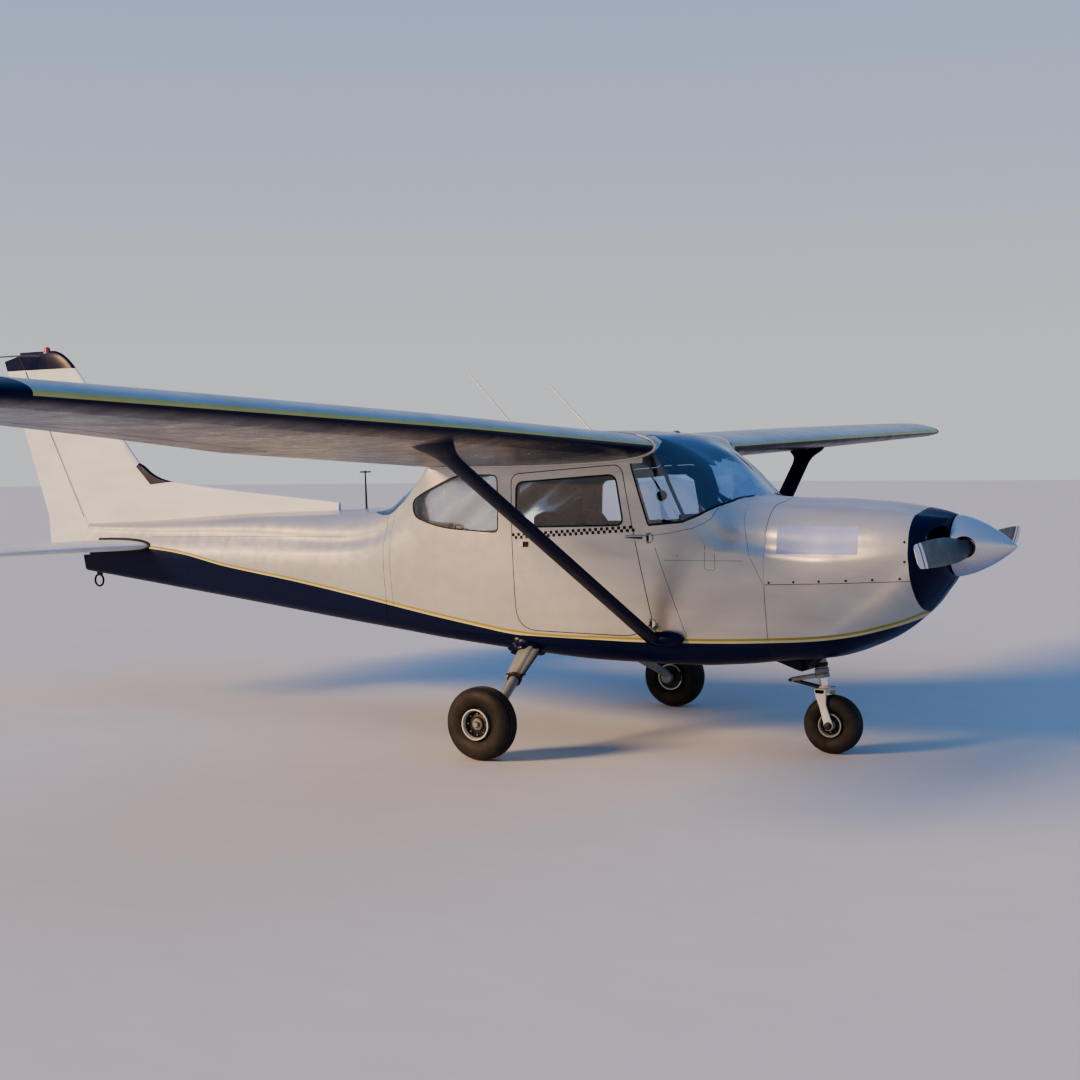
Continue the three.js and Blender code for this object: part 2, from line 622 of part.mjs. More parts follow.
const makeRudder = () => {
  const whole = keep(finWhole(rudderLow, rudderHigh), rudderRegion(0, rudderLow - 10, rudderHigh + 10));
  const socket = bar([rudderHingeX(1000), 0, 1000], [rudderHingeX(rudderSocket), 0, rudderSocket], 14, 14, 12);
  const overTop = sidePrism([[-6790, rudderHigh], [-7100, 2592], [-7100, far], [-6790, far]]);
  return cut(whole, socket, overTop);
};
const dorsalSections = [
  [-3498, 1300, 1473, 25, 12],
  [-5113, 1300, 1622, 42, 16],
  [-5240, 1300, 1648, 42, 18],
  [-5340, 1300, 1690, 42, 20],
  [-5420, 1300, 1745, 42, 20],
  [-5470, 1300, 1768, 42, 20],
];
const makeFin = () => {
  const dorsal = loft(dorsalSections.map(([x, low, high, halfLow, halfHigh]) => [
    [x, -halfLow, low], [x, -halfHigh, high - 8], [x, 0, high], [x, halfHigh, high - 8], [x, halfLow, low],
  ]), 0);
  const whole = join(finWhole(1270, finTop), dorsal);
  return cut(whole, bodyProud, rudderRegion(clearance, 900, 2800));
};
const finCapRings = [[finTop + seat, 0], [2610, 14], [2655, 45], [2680, 100]];
const makeFinCap = () => {
  const cap = loft(finCapRings.map(([z, inset]) => finRing(z, inset)), 2);
  const beacon = bar([-6482, 0, 2655], [-6482, 0, 2716], 27, 20, 14);
  return cut(join(cap, beacon), rudderRegion(clearance, 900, 2800));
};

const tailplaneRing = ([y, lead, chord, thickness]) => symmetric(thickness)
  .map(([x, z]) => [lead - x * chord, y, elevatorHinge.z + z * chord]);
const tailplaneWhole = loft(tailplaneSections.map(tailplaneRing), 1);
const elevatorStations = (gap) => elevatorSpan.map((y, i) => {
  const [, lead, chord, thickness] = sectionAt(tailplaneSections, Math.min(y, 1700));
  const share = (lead - elevatorHinge.x) / chord;
  const reach = i === 0 ? -gap : gap;
  return [y + reach, elevatorHinge.x, elevatorHinge.z, halfDepth(thickness, chord, share) + 1 + gap];
});
const makeTailplane = () => cut(tailplaneWhole, bodyProud, behindHinge(elevatorStations(clearance)),
  box(-7000, elevatorHinge.x + 20, -far, elevatorSpan[0] + 1, -far, far));
const makeElevatorHalf = () => {
  const rootCut = prism([[-5700, 100], [-5700, 158], [-5900, 158], [-6500, 262], [-6500, 100]], 2, 0, far);
  return cut(keep(tailplaneWhole, behindHinge(elevatorStations(0))), rootCut);
};
const makeElevator = () => {
  const half = makeElevatorHalf();
  const { x, z } = elevatorHinge;
  return join(half, mirrored(half), bar([x, -170, z], [x, 170, z], elevatorTube));
};

// Wheels
const wheelLathe = (profile) => {
  const geometry = new THREE.LatheGeometry(profile.map(([r, y]) => new THREE.Vector2(r, y)), wheelSides);
  geometry.rotateY(Math.PI / wheelSides);
  return solidOf(geometry);
};
const makeTyre = ({ radius, width, rim }) => {
  const half = width / 2;
  const shoulder = radius - rim;
  const side = [
    [rim + seat, -half * 0.62], [rim + shoulder * 0.3, -half * 0.93], [rim + shoulder * 0.55, -half],
    [rim + shoulder * 0.8, -half * 0.88], [radius - 8, -half * 0.62], [radius, -half * 0.36],
  ];
  const otherSide = side.slice().reverse().map(([r, y]) => [r, -y]);
  return wheelLathe([...side, ...otherSide, side[0]]);
};
const makeHub = ({ rim, bore, width }) => {
  const half = width * 0.4;
  return wheelLathe([
    [bore, -half * 0.75], [bore + 24, -half * 0.75], [rim - 16, -half * 0.4], [rim - 8, -half * 0.95],
    [rim + 4, -half - 4], [rim, -half * 0.8], [rim, half * 0.8], [rim + 4, half + 4], [rim - 8, half * 0.95],
    [rim - 16, half * 0.4], [bore + 24, half * 0.75], [bore, half * 0.75], [bore, -half * 0.75],
  ]);
};

// Main gear leg
const legTop = [-1618, 430, 590];
const legFoot = [-1470, 1150, 240];
const wheelHeight = ({ radius }) => radius * Math.cos(Math.PI / wheelSides);
const makeGearLeg = () => {
  const axleZ = wheelHeight(mainTyre);
  const leg = bar(legTop, legFoot, 38, 27, 16);
  const axle = bar([wheelX, 1140, axleZ], [wheelX, 1334, axleZ], mainTyre.bore - 0.5);
  const knuckle = bar([wheelX, 1130, axleZ], [wheelX, 1172, axleZ], 38);
  const step = box(-1590, -1490, 735, 805, 440, 452);
  return cut(join(leg, axle, knuckle, step), bodyProud);
};

// Nose gear, leaning forward at its foot
const noseLean = 0.17;
const strutAxisX = (z) => 186 - noseLean * (z - 175);
const onStrut = (z) => [strutAxisX(z), 0, z];
const makeNoseStrut = () => join(
  bar(onStrut(475), onStrut(700), 38, 38, 20),
  bar(onStrut(475), onStrut(500), 46, 46, 20),
  box(firewallFront + seat, strutAxisX(600) - 10, -45, 45, 575, 615),
  box(firewallFront + seat, strutAxisX(690) - 10, -45, 45, 660, 695),
);
const makeNoseFork = () => {
  const crownZ = 362;
  const armY = noseTyre.width / 2 + 9;
  const axleZ = wheelHeight(noseTyre);
  const crown = box(strutAxisX(380) - 34, strutAxisX(380) + 30, -armY - 16, armY + 16, crownZ, crownZ + 28);
  const arm = prism([
    [strutAxisX(380) - 34, crownZ + 20], [strutAxisX(380) + 40, crownZ + 20], [noseWheelX + 24, axleZ],
    [noseWheelX + 12, axleZ - 24], [noseWheelX - 12, axleZ - 24], [noseWheelX - 24, axleZ],
  ], 1, armY, armY + 16);
  const axleRadius = noseTyre.bore - 0.5;
  const axle = bar([noseWheelX, -armY - 20, axleZ], [noseWheelX, armY + 20, axleZ], axleRadius, axleRadius, 14);
  const piston = bar(onStrut(380), onStrut(475 - seat), 24, 24, 14);
  const collar = bar(onStrut(448), onStrut(474), 42, 42, 14);
  const kneeX = strutAxisX(420) - 205;
  const links = [-1, 1].map((side) => join(
    bar([strutAxisX(460) - 30, side * 22, 460], [kneeX, side * 14, 425], 9, 9, 6),
    bar([kneeX, side * 14, 425], [strutAxisX(390) - 30, side * 22, 388], 9, 9, 6),
  ));
  const kneePin = bar([kneeX, -30, 425], [kneeX, 30, 425], 10, 10, 8);
  return join(crown, arm, mirrored(arm), axle, piston, collar, ...links, kneePin);
};

// Propeller and spinner
const bladeSections = [
  // distance from the centre, chord, depth, pitch in degrees
  [60, 60, 60, 45],
  [135, 62, 56, 45],
  [215, 128, 34, 36],
  [420, 158, 22, 27],
  [700, 152, 15, 20],
  [930, 132, 9, 16],
  [propRadius, 112, 7, 15],
];

// As parked, the left blade stands one degree above level
const parkedTurn = (solid) => {
  const geometry = geometryOf(solid);
  geometry.translate(-propCentre[0], 0, -propCentre[2]);
  geometry.rotateX(THREE.MathUtils.degToRad(1));
  geometry.translate(propCentre[0], 0, propCentre[2]);
  return solidOf(geometry);
};
const makeBlade = () => loft(bladeSections.map(([y, chord, depth, pitch]) => {
  const turn = THREE.MathUtils.degToRad(pitch);
  const ring = [];
  for (let i = 0; i < 14; i += 1) {
    const angle = (Math.PI * 2 * i) / 14;
    const across = (chord / 2) * Math.cos(angle);
    const through = (depth / 2) * Math.sin(angle);
    ring.push([
      propCentre[0] + across * Math.sin(turn) + through * Math.cos(turn),
      y,
      propCentre[2] + across * Math.cos(turn) - through * Math.sin(turn),
    ]);
  }
  return ring;
}), 1);
const makePropeller = () => {
  const blade = makeBlade();
  const other = geometryOf(blade);
  other.translate(-propCentre[0], 0, -propCentre[2]);
  other.rotateX(Math.PI);
  other.translate(propCentre[0], 0, propCentre[2]);
  const hub = bar([propCentre[0], -90, propCentre[2]], [propCentre[0], 90, propCentre[2]], 48, 48, 20);
  const shaft = bar([735 + seat, 0, propCentre[2]], [1040, 0, propCentre[2]], 45.3, 45.3, 24);
  return parkedTurn(join(blade, solidOf(other), hub, shaft));
};
const makeSpinner = () => {
  const profile = [[46, spinnerBackX], [spinnerRadius, spinnerBackX], [spinnerRadius, spinnerBackX + 8]];
  const length = spinnerTipX - spinnerBackX - 8;
  for (let i = 1; i <= 7; i += 1) {
    const t = i / 7;
    profile.push([spinnerRadius * (1 - t ** 1.55) ** 0.92, spinnerBackX + 8 + length * t]);
  }
  profile[profile.length - 1][0] = 0;
  const inner = [[0, 1120], [46, 1120], [46, spinnerBackX]];
  const lathe = new THREE.LatheGeometry([...profile, ...inner].map(([r, x]) => new THREE.Vector2(r, x)), 24);
  lathe.rotateZ(-Math.PI / 2);
  lathe.translate(0, 0, propCentre[2]);
  const hole = bar([propCentre[0], -300, propCentre[2]], [propCentre[0], 300, propCentre[2]], 62, 62, 14);
  return parkedTurn(cut(solidOf(lathe), hole));
};

// Cabin fittings
const makePanel = () => {
  const inside = bodyLoft(bodySections, -wallThickness - seat, 20);
  const face = keep(inside, box(-520, -460, -far, far, 1010, 1420));
  const shade = keep(inside, box(-560, -440, -far, far, 1405, 1432));
  const yokes = [-1, 1].map((side) => {
    const y = side * 260;
    const wheel = tube([[-725, y - 150, 1290], [-722, y - 140, 1175], [-720, y, 1150], [-722, y + 140, 1175],
      [-725, y + 150, 1290]], 12, 8, 6);
    return join(bar([-500, y, 1180], [-730, y, 1158], 14, 14, 8), wheel);
  });
  return join(face, shade, ...yokes);
};
const frontSeatOutline = [
  [-930, 850, 20], [-925, 990, 60], [-1330, 950, 40], [-1500, 1470, 60], [-1590, 1450, 50], [-1440, 850, 60],
];
const rearSeatOutline = [
  [-1930, 850, 20], [-1925, 970, 60], [-2290, 940, 40], [-2440, 1330, 60], [-2520, 1310, 50], [-2380, 850, 60],
];
const makeSeat = (outline, from, to) => {
  const frame = box(outline[0][0] - 420, outline[0][0] - 80, from + 60, to - 60, floorTop + seat, 860);
  return join(sidePrism(rounded(outline), from, to), frame);
};

// Antennas
const makeWhip = ([x, y, z], tip) => cut(
  join(bar([x, y, z], tip, 6, 4, 8), bar([x, y, z - 20], [x, y, z + 14], 22, 16, 12)), bodyProud);
const makeSpineMast = () => cut(
  join(bar([-3258, 0, 1400], [-3268, 0, 1700], 9, 6, 8), bar([-3266, -60, 1690], [-3266, 60, 1690], 5, 5, 8)),
  bodyProud);

// Assembly
const aircraft = new THREE.Group();
aircraft.position.x = originX;
const add = (name, solid, look, parent = aircraft) => {
  const mesh = new THREE.Mesh(geometryOf(solid), new THREE.MeshStandardMaterial(look));
  mesh.name = name;
  parent.add(mesh);
  return mesh;
};
const addPair = (name, solid, look) => {
  add(`${name}_left`, solid, look);
  add(`${name}_right`, mirrored(solid), look);
};

add('firewall', makeFirewall(), paint.bare);
add('floor', makeFloor(), paint.navy);
addPair('side_wall', makeSideWall(), paint.silver);
add('roof', makeRoof(), paint.silver);
add('tail_cone', makeTailCone(), paint.silver);
add('windscreen', makeWindow(windscreenOutline, between(-far, far)), paint.glass);
add('rear_window', makeWindow(rearWindowOutline, between(-far - 200, far)), paint.glass);
addPair('quarter_window', makeWindow(quarterWindowOutline, leftHalf), paint.glass);

add('engine', makeEngine(), paint.iron);
add('exhaust', makeExhaust(), paint.iron);
add('cowl_upper', makeCowl(true), paint.silver);
add('cowl_lower', makeCowl(false), paint.navy);
add('nose_bowl', makeNoseBowl(), paint.navy);
add('propeller', makePropeller(), paint.blade);
add('spinner', makeSpinner(), paint.silver);

add('instrument_panel', makePanel(), paint.panel);
addPair('seat_front', makeSeat(frontSeatOutline, 60, 455), paint.cloth);
add('seat_rear', makeSeat(rearSeatOutline, -400, 400), paint.cloth);
addPair('door', makeDoor(), paint.silver);
addPair('door_glass', makeWindow(doorWindowOutline, leftHalf), paint.glass);

addPair('wing', makeWing(), paint.silver);
addPair('wing_tip', makeWingTip(), paint.navy);
addPair('flap', makeFlap(), paint.silver);
addPair('aileron', makeAileron(), paint.silver);
addPair('strut', makeStrut(), paint.navy);

add('fin', makeFin(), paint.white);
add('fin_cap', makeFinCap(), paint.navy);
add('rudder', makeRudder(), paint.white);
addPair('tailplane', makeTailplane(), paint.white);
add('elevator', makeElevator(), paint.white);

const mainWheelAt = (solid) => solid.translate([wheelX, wheelY, wheelHeight(mainTyre)]);
const noseWheelAt = (solid) => solid.translate([noseWheelX, 0, wheelHeight(noseTyre)]);
addPair('gear_leg', makeGearLeg(), paint.silver);
addPair('main_tyre', mainWheelAt(makeTyre(mainTyre)), paint.rubber);
addPair('main_hub', mainWheelAt(makeHub(mainTyre)), paint.bare);
add('nose_strut', makeNoseStrut(), paint.bare);
add('nose_fork', makeNoseFork(), paint.white);
add('nose_tyre', noseWheelAt(makeTyre(noseTyre)), paint.rubber);
add('nose_hub', noseWheelAt(makeHub(noseTyre)), paint.bare);

add('pitot', cut(makePitot(), wingUnder), paint.bare);
add('whip_front', makeWhip([-1400, 0, 1914], [-1752, 0, 2256]), paint.bare);
add('whip_rear', makeWhip([-1888, 0, 1848], [-2375, 0, 2344]), paint.bare);
add('spine_mast', makeSpineMast(), paint.bare);

export default aircraft;
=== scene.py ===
import json
import math
from bisect import bisect_right

import bmesh
import bpy
from mathutils import Matrix, Vector
from mathutils.bvhtree import BVHTree

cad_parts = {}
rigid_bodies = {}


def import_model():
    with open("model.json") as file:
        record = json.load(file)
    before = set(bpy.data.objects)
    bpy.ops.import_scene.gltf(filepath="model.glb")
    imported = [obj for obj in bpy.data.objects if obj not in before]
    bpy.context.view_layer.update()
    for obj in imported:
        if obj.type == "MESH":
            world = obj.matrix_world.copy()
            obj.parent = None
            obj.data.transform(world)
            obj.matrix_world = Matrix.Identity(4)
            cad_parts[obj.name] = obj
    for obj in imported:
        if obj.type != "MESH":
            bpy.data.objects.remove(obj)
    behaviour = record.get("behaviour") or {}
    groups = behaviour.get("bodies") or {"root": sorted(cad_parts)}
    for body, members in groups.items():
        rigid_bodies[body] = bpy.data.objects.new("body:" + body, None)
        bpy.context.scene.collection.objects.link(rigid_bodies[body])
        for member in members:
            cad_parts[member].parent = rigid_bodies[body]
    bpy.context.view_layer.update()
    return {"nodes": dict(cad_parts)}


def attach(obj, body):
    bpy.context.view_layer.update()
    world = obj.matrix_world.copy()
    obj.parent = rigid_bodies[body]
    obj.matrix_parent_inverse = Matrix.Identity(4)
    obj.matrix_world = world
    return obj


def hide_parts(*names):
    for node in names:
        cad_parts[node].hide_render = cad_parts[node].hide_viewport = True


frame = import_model()
originX = 2865      # the drawing's zero, in millimetres ahead of the middle of the aircraft
far = 3000


# camera, floor and light
view = {
    "place": (6.663, -9.382, 1.734), "azimuth": 33.5, "elevation": 2.67, "roll": -0.39,
    "lens": 55.13, "shift": (0.0681, 0.0020),
}
azimuth, elevation, roll = (math.radians(view[key]) for key in ("azimuth", "elevation", "roll"))
back = Vector((math.sin(azimuth) * math.cos(elevation), -math.cos(azimuth) * math.cos(elevation),
               math.sin(elevation)))
levelRight = Vector((0, 0, 1)).cross(back).normalized()
levelUp = back.cross(levelRight)
right = levelRight * math.cos(roll) + levelUp * math.sin(roll)
up = levelUp * math.cos(roll) - levelRight * math.sin(roll)
cameraData = bpy.data.cameras.new("camera")
cameraData.lens = view["lens"]
cameraData.shift_x, cameraData.shift_y = view["shift"]
cameraData.clip_end = 400
camera = bpy.data.objects.new("camera", cameraData)
bpy.context.scene.collection.objects.link(camera)
turn = Matrix((right, up, back)).transposed().to_4x4()
camera.matrix_world = Matrix.Translation(view["place"]) @ turn
bpy.context.scene.camera = camera

studio = {
    "floorRadius": 150, "floorColour": (0.69, 0.68, 0.65), "skyLow": (0.84, 0.87, 0.90),
    "skyHigh": (0.20, 0.42, 0.92),
    "skyStrength": 0.64, "sunPlace": (-7.0, -11.0, 6.0), "sunAngle": 0.25, "sunPower": 4.4,
    "sunColour": (1.0, 0.64, 0.32),
}
bpy.context.scene.view_settings.look = "AgX - Medium High Contrast"
lampData = bpy.data.lights.new("softSun", "SUN")
lampData.angle = studio["sunAngle"]
lampData.energy = studio["sunPower"]
lampData.color = studio["sunColour"]
lamp = bpy.data.objects.new("softSun", lampData)
lamp.location = studio["sunPlace"]
lamp.rotation_euler = (Vector((0, 0, 1)) - lamp.location).to_track_quat("-Z", "Y").to_euler()
bpy.context.scene.collection.objects.link(lamp)
print("camera and light are in place")


# node helpers for the finishes
def wire(tree, kind, inputs=None, **settings):
    node = tree.nodes.new(kind)
    for key, value in settings.items():
        setattr(node, key, value)
    for key, value in (inputs or {}).items():
        if isinstance(value, bpy.types.NodeSocket):
            tree.links.new(value, node.inputs[key])
        else:
            node.inputs[key].default_value = value
    return node


def noise(tree, coords, scale, detail=4.0, rough=0.5):
    node = wire(tree, "ShaderNodeTexNoise",
                {"Vector": coords, "Scale": scale, "Detail": detail, "Roughness": rough})
    return node.outputs[0]


def stretched(tree, coords, scale):
    return wire(tree, "ShaderNodeMapping", {"Vector": coords, "Scale": scale}).outputs[0]


def calc(tree, operation, first, second=0.0):
    return wire(tree, "ShaderNodeMath", {0: first, 1: second}, operation=operation).outputs[0]


def spread(tree, value, low, high, newLow=0.0, newHigh=1.0):
    kind = {"Value": value, "From Min": low, "From Max": high, "To Min": newLow, "To Max": newHigh}
    return wire(tree, "ShaderNodeMapRange", kind).outputs[0]


def mixed(tree, factor, first, second):
    colours = [(*value, 1) if isinstance(value, tuple) and len(value) == 3 else value
               for value in (first, second)]
    return wire(tree, "ShaderNodeMix", {0: factor, 6: colours[0], 7: colours[1]}, data_type="RGBA").outputs[2]


def startFinish(name):
    finish = bpy.data.materials.new(name)
    finish.use_nodes = True
    tree = finish.node_tree
    coords = wire(tree, "ShaderNodeTexCoord").outputs["Object"]
    return finish, tree, tree.nodes["Principled BSDF"], coords


def tinted(tree, factor, colour, tint):
    node = {0: factor, 6: colour, 7: (*tint, 1)}
    return wire(tree, "ShaderNodeMix", node, data_type="RGBA", blend_type="MULTIPLY").outputs[2]


def dress(tree, shader, coords, colour, look):
    # colour drift, grime, uneven gloss and a dented, grained surface over any base colour
    drift = noise(tree, coords, look.get("driftSize", 1.4), 5)
    grime = noise(tree, stretched(tree, coords, look.get("grimeStretch", (1.2, 2.5, 5))), 1.8, 3, 0.5)
    grimeMask = calc(tree, "MULTIPLY", spread(tree, grime, 0.40, 0.80), look.get("grime", 0.25))
    drifted = tinted(tree, spread(tree, drift, 0.3, 0.7, 0, look.get("drift", 0.6)), colour,
                     (0.84, 0.85, 0.88))
    if "dust" in look:
        dirty = mixed(tree, grimeMask, drifted, look["dust"])
    else:
        dirty = tinted(tree, grimeMask, drifted, (0.42, 0.38, 0.33))
    tree.links.new(dirty, shader.inputs["Base Color"])
    gloss = noise(tree, coords, look.get("glossSize", 14), 6)
    low, high = look["roughness"]
    rough = calc(tree, "ADD", spread(tree, gloss, 0.3, 0.7, low, high),
                 calc(tree, "MULTIPLY", grimeMask, 0.3))
    tree.links.new(rough, shader.inputs["Roughness"])
    dents = noise(tree, stretched(tree, coords, look.get("dentStretch", (1, 1, 1))),
                  look.get("dentSize", 2.2), 1)
    if "dentMask" in look:
        dents = calc(tree, "MULTIPLY", dents, look["dentMask"])
    grain = noise(tree, coords, look.get("grainSize", 260), 2)
    broad = wire(tree, "ShaderNodeBump",
                 {"Height": dents, "Distance": look.get("dent", 0.004), "Strength": 1.0})
    fine = {"Height": grain, "Distance": look.get("grain", 0.0001), "Strength": 0.6,
            "Normal": broad.outputs[0]}
    tree.links.new(wire(tree, "ShaderNodeBump", fine).outputs[0], shader.inputs["Normal"])
    shader.inputs["Metallic"].default_value = look.get("metal", 0.0)
    shader.inputs["Specular IOR Level"].default_value = look.get("sheen", 0.5)
    shader.inputs["Coat Weight"].default_value = look.get("coat", 0.0)
    shader.inputs["Coat Roughness"].default_value = 0.12


def plainFinish(name, colour, **look):
    finish, tree, shader, coords = startFinish(name)
    dress(tree, shader, coords, (*colour, 1), look)
    return finish


paints = {
    "silver": (0.60, 0.59, 0.55), "navy": (0.002, 0.006, 0.038), "yellow": (0.56, 0.55, 0.19),
    # shadedYellow is the yellow paint darkened, with painted shade in its colour
    "shadedYellow": (0.34, 0.31, 0.07), "cream": (0.60, 0.56, 0.34), "white": (0.66, 0.70, 0.70),
    # under is a dark grey that paints the shade under the wing
    "under": (0.12, 0.13, 0.16),
}
skinLook = {
    "roughness": (0.27, 0.36), "metal": 0.6, "coat": 0.0, "dent": 0.005, "grime": 0.25, "drift": 0.6,
    "dentSize": 1.7,
    "sheen": 0.2, "grain": 0.00001,
}
stripeHeights = [  # x and z of the middle of the stripe, in metres of the drawing
    (-6.2, 1.128), (-5.143, 1.122), (-4.258, 1.006), (-3.611, 0.933), (-2.935, 0.843), (-2.288, 0.749),
    (-1.958, 0.702), (-1.744, 0.674), (-1.534, 0.662), (-0.966, 0.668), (-0.538, 0.678), (-0.05, 0.700),
    (0.328, 0.734), (0.621, 0.800), (0.79, 0.872), (0.95, 0.96),
]


def bodyFinish():
    finish, tree, shader, coords = startFinish("bodyPaint")
    parts = wire(tree, "ShaderNodeSeparateXYZ", {0: coords})
    lowX, highX = stripeHeights[0][0], stripeHeights[-1][0]
    along = spread(tree, parts.outputs["X"], lowX + originX / 1000, highX + originX / 1000)
    curve = wire(tree, "ShaderNodeFloatCurve", {"Value": along})
    line = curve.mapping.curves[0]
    for number, (x, z) in enumerate(stripeHeights):
        place = ((x - lowX) / (highX - lowX), (z - 0.6) / 0.8)
        if number in (0, len(stripeHeights) - 1):
            line.points[0 if number == 0 else -1].location = place
        else:
            line.points.new(*place)
    curve.mapping.update()
    height = calc(tree, "ADD", calc(tree, "MULTIPLY", curve.outputs[0], 0.8), 0.6)
    above = calc(tree, "SUBTRACT", parts.outputs["Z"], height)
    half = spread(tree, parts.outputs["X"], -2.2, 1.0, 0.011, 0.014)
    share = calc(tree, "DIVIDE", above, half)
    edge = 0.06
    colour = mixed(tree, spread(tree, share, -1 - edge, -1 + edge), paints["navy"], paints["cream"])
    # the stripe's upper band is a darker copy of the yellow paint: painted shade
    colour = mixed(tree, spread(tree, share, -edge, edge), colour, paints["shadedYellow"])
    colour = mixed(tree, spread(tree, share, 1 - edge, 1 + edge), colour, paints["silver"])
    dress(tree, shader, coords, colour, skinLook)
    metal = spread(tree, share, 0.9, 1.1, 0.0, skinLook["metal"])
    tree.links.new(metal, shader.inputs["Metallic"])
    return finish


def wingFinish():
    # share is the signed root of the distance from the leading edge, above zero on the upper skin;
    # fall is the height over the leading edge in metres
    finish, tree, shader, coords = startFinish("wingPaint")
    share = wire(tree, "ShaderNodeAttribute", attribute_name="share").outputs["Fac"]
    fall = wire(tree, "ShaderNodeAttribute", attribute_name="fall").outputs["Fac"]
    across = calc(tree, "ABSOLUTE", wire(tree, "ShaderNodeSeparateXYZ", {0: coords}).outputs["Y"])
    bandEnd = spread(tree, across, 0.5, 5.2, 0.27, 0.36)
    upper = calc(tree, "MAXIMUM", spread(tree, fall, 0.017, 0.019), spread(tree, share, 0.15, 0.16))
    overBand = calc(tree, "SUBTRACT", fall, spread(tree, across, 0.5, 5.2, 0.004, -0.006))
    under = spread(tree, overBand, -0.001, 0.001, 1, 0)
    lower = calc(tree, "MULTIPLY", under, spread(tree, share, 0.13, 0.15, 1, 0))
    belly = spread(tree, calc(tree, "ADD", share, bandEnd), -0.02, 0.0, 1, 0)
    colour = mixed(tree, upper, paints["yellow"], paints["silver"])
    colour = mixed(tree, lower, colour, paints["navy"])
    # the underside behind the navy band takes the dark grey: painted shade under the wing
    colour = mixed(tree, belly, colour, paints["under"])
    ripple = spread(tree, share, -0.1, 0.1, 1.0, 0.1)
    look = dict(skinLook, dent=0.016, dentStretch=(0.8, 2.4, 1), dentSize=1.5, roughness=(0.24, 0.34),
                dentMask=ripple)
    dress(tree, shader, coords, colour, look)
    shiny = calc(tree, "MAXIMUM", upper, belly)
    tree.links.new(calc(tree, "MULTIPLY", shiny, 0.85), shader.inputs["Metallic"])
    return finish


def finFinish():
    # white, with a navy cap and a navy fillet between fin and spine, bounded by three lines
    finish, tree, shader, coords = startFinish("finPaint")
    parts = wire(tree, "ShaderNodeSeparateXYZ", {0: coords})
    x = calc(tree, "SUBTRACT", parts.outputs["X"], originX / 1000)
    z = parts.outputs["Z"]
    mask = spread(tree, z, 1.500, 1.502)
    for cornerX, cornerZ, slopeX, slopeZ in ((-5.45, 1.789, 1.0, -0.78), (-5.334, 1.597, 1.0, 1.09),
                                             (-5.334, 1.597, -0.103, 1.0)):
        reachX = calc(tree, "MULTIPLY", calc(tree, "SUBTRACT", x, cornerX), slopeX)
        reachZ = calc(tree, "MULTIPLY", calc(tree, "SUBTRACT", z, cornerZ), slopeZ)
        mask = calc(tree, "MULTIPLY", mask, spread(tree, calc(tree, "ADD", reachX, reachZ), 0.0, 0.003))
    mask = calc(tree, "MAXIMUM", mask, spread(tree, z, 2.531, 2.534))
    colour = mixed(tree, mask, paints["white"], paints["navy"])
    dress(tree, shader, coords, colour,
          {"roughness": (0.36, 0.46), "dent": 0.003, "grime": 0.22, "drift": 0.5,
                                        "grain": 0.00001, "sheen": 0.15})
    return finish


def glassFinish(name, tint, index):
    finish, tree, shader, coords = startFinish(name)
    film = noise(tree, coords, 3.0, 6)
    tree.links.new(spread(tree, film, 0.35, 0.75, 0.0, 0.012), shader.inputs["Roughness"])
    shade = tinted(tree, spread(tree, film, 0.3, 0.7), (*tint, 1), (0.93, 0.95, 0.97))
    tree.links.new(shade, shader.inputs["Base Color"])
    wave = wire(tree, "ShaderNodeBump", {"Height": noise(tree, coords, 1.1, 0), "Distance": 0.0006})
    tree.links.new(wave.outputs[0], shader.inputs["Normal"])
    shader.inputs["Transmission Weight"].default_value = 1.0
    shader.inputs["IOR"].default_value = index
    return finish


def bladeFinish():
    # grey blade with white, red and white bands at each tip
    finish, tree, shader, coords = startFinish("bladePaint")
    hub = wire(tree, "ShaderNodeVectorMath", {0: coords, 1: (3.885, 0, 1.258)},
               operation="SUBTRACT").outputs[0]
    reach = wire(tree, "ShaderNodeVectorMath", {0: hub}, operation="LENGTH").outputs["Value"]
    colour = (0.055, 0.075, 0.088)
    for start, band in ((0.838, (0.80, 0.80, 0.78)), (0.876, (0.34, 0.03, 0.03)),
                        (0.896, (0.80, 0.80, 0.78))):
        colour = mixed(tree, spread(tree, reach, start, start + 0.002), colour, band)
    look = {"roughness": (0.30, 0.46), "metal": 0.2, "grime": 0.3, "dent": 0.001, "grimeStretch": (4, 30, 4)}
    dress(tree, shader, coords, colour, look)
    return finish


def tyreFinish():
    finish, tree, shader, coords = startFinish("tyreRubber")
    dust = noise(tree, coords, 9, 7, 0.65)
    colour = mixed(tree, spread(tree, dust, 0.42, 0.75), (0.008, 0.008, 0.009), (0.035, 0.030, 0.025))
    look = {"roughness": (0.55, 0.75), "dent": 0.0006, "dentSize": 40, "grain": 0.0004, "grainSize": 420,
            "grime": 0.25, "dust": (0.075, 0.062, 0.050), "sheen": 0.35}
    dress(tree, shader, coords, colour, look)
    return finish


def clothFinish(name, colour):
    finish, tree, shader, coords = startFinish(name)
    across = wire(tree, "ShaderNodeTexWave", {"Vector": coords, "Scale": 120, "Distortion": 0.6},
                  bands_direction="Y")
    down = wire(tree, "ShaderNodeTexWave", {"Vector": coords, "Scale": 120, "Distortion": 0.6},
                bands_direction="DIAGONAL")
    weave = calc(tree, "ADD", across.outputs["Fac"], down.outputs["Fac"])
    fuzz = noise(tree, coords, 30, 6)
    pale = tuple(value * 1.9 for value in colour)
    shade = mixed(tree, spread(tree, fuzz, 0.35, 0.7), colour, pale)
    tree.links.new(shade, shader.inputs["Base Color"])
    tree.links.new(spread(tree, fuzz, 0.3, 0.7, 0.78, 0.95), shader.inputs["Roughness"])
    bump = wire(tree, "ShaderNodeBump", {"Height": weave, "Distance": 0.0006, "Strength": 0.7})
    tree.links.new(bump.outputs[0], shader.inputs["Normal"])
    shader.inputs["Sheen Weight"].default_value = 0.3
    return finish


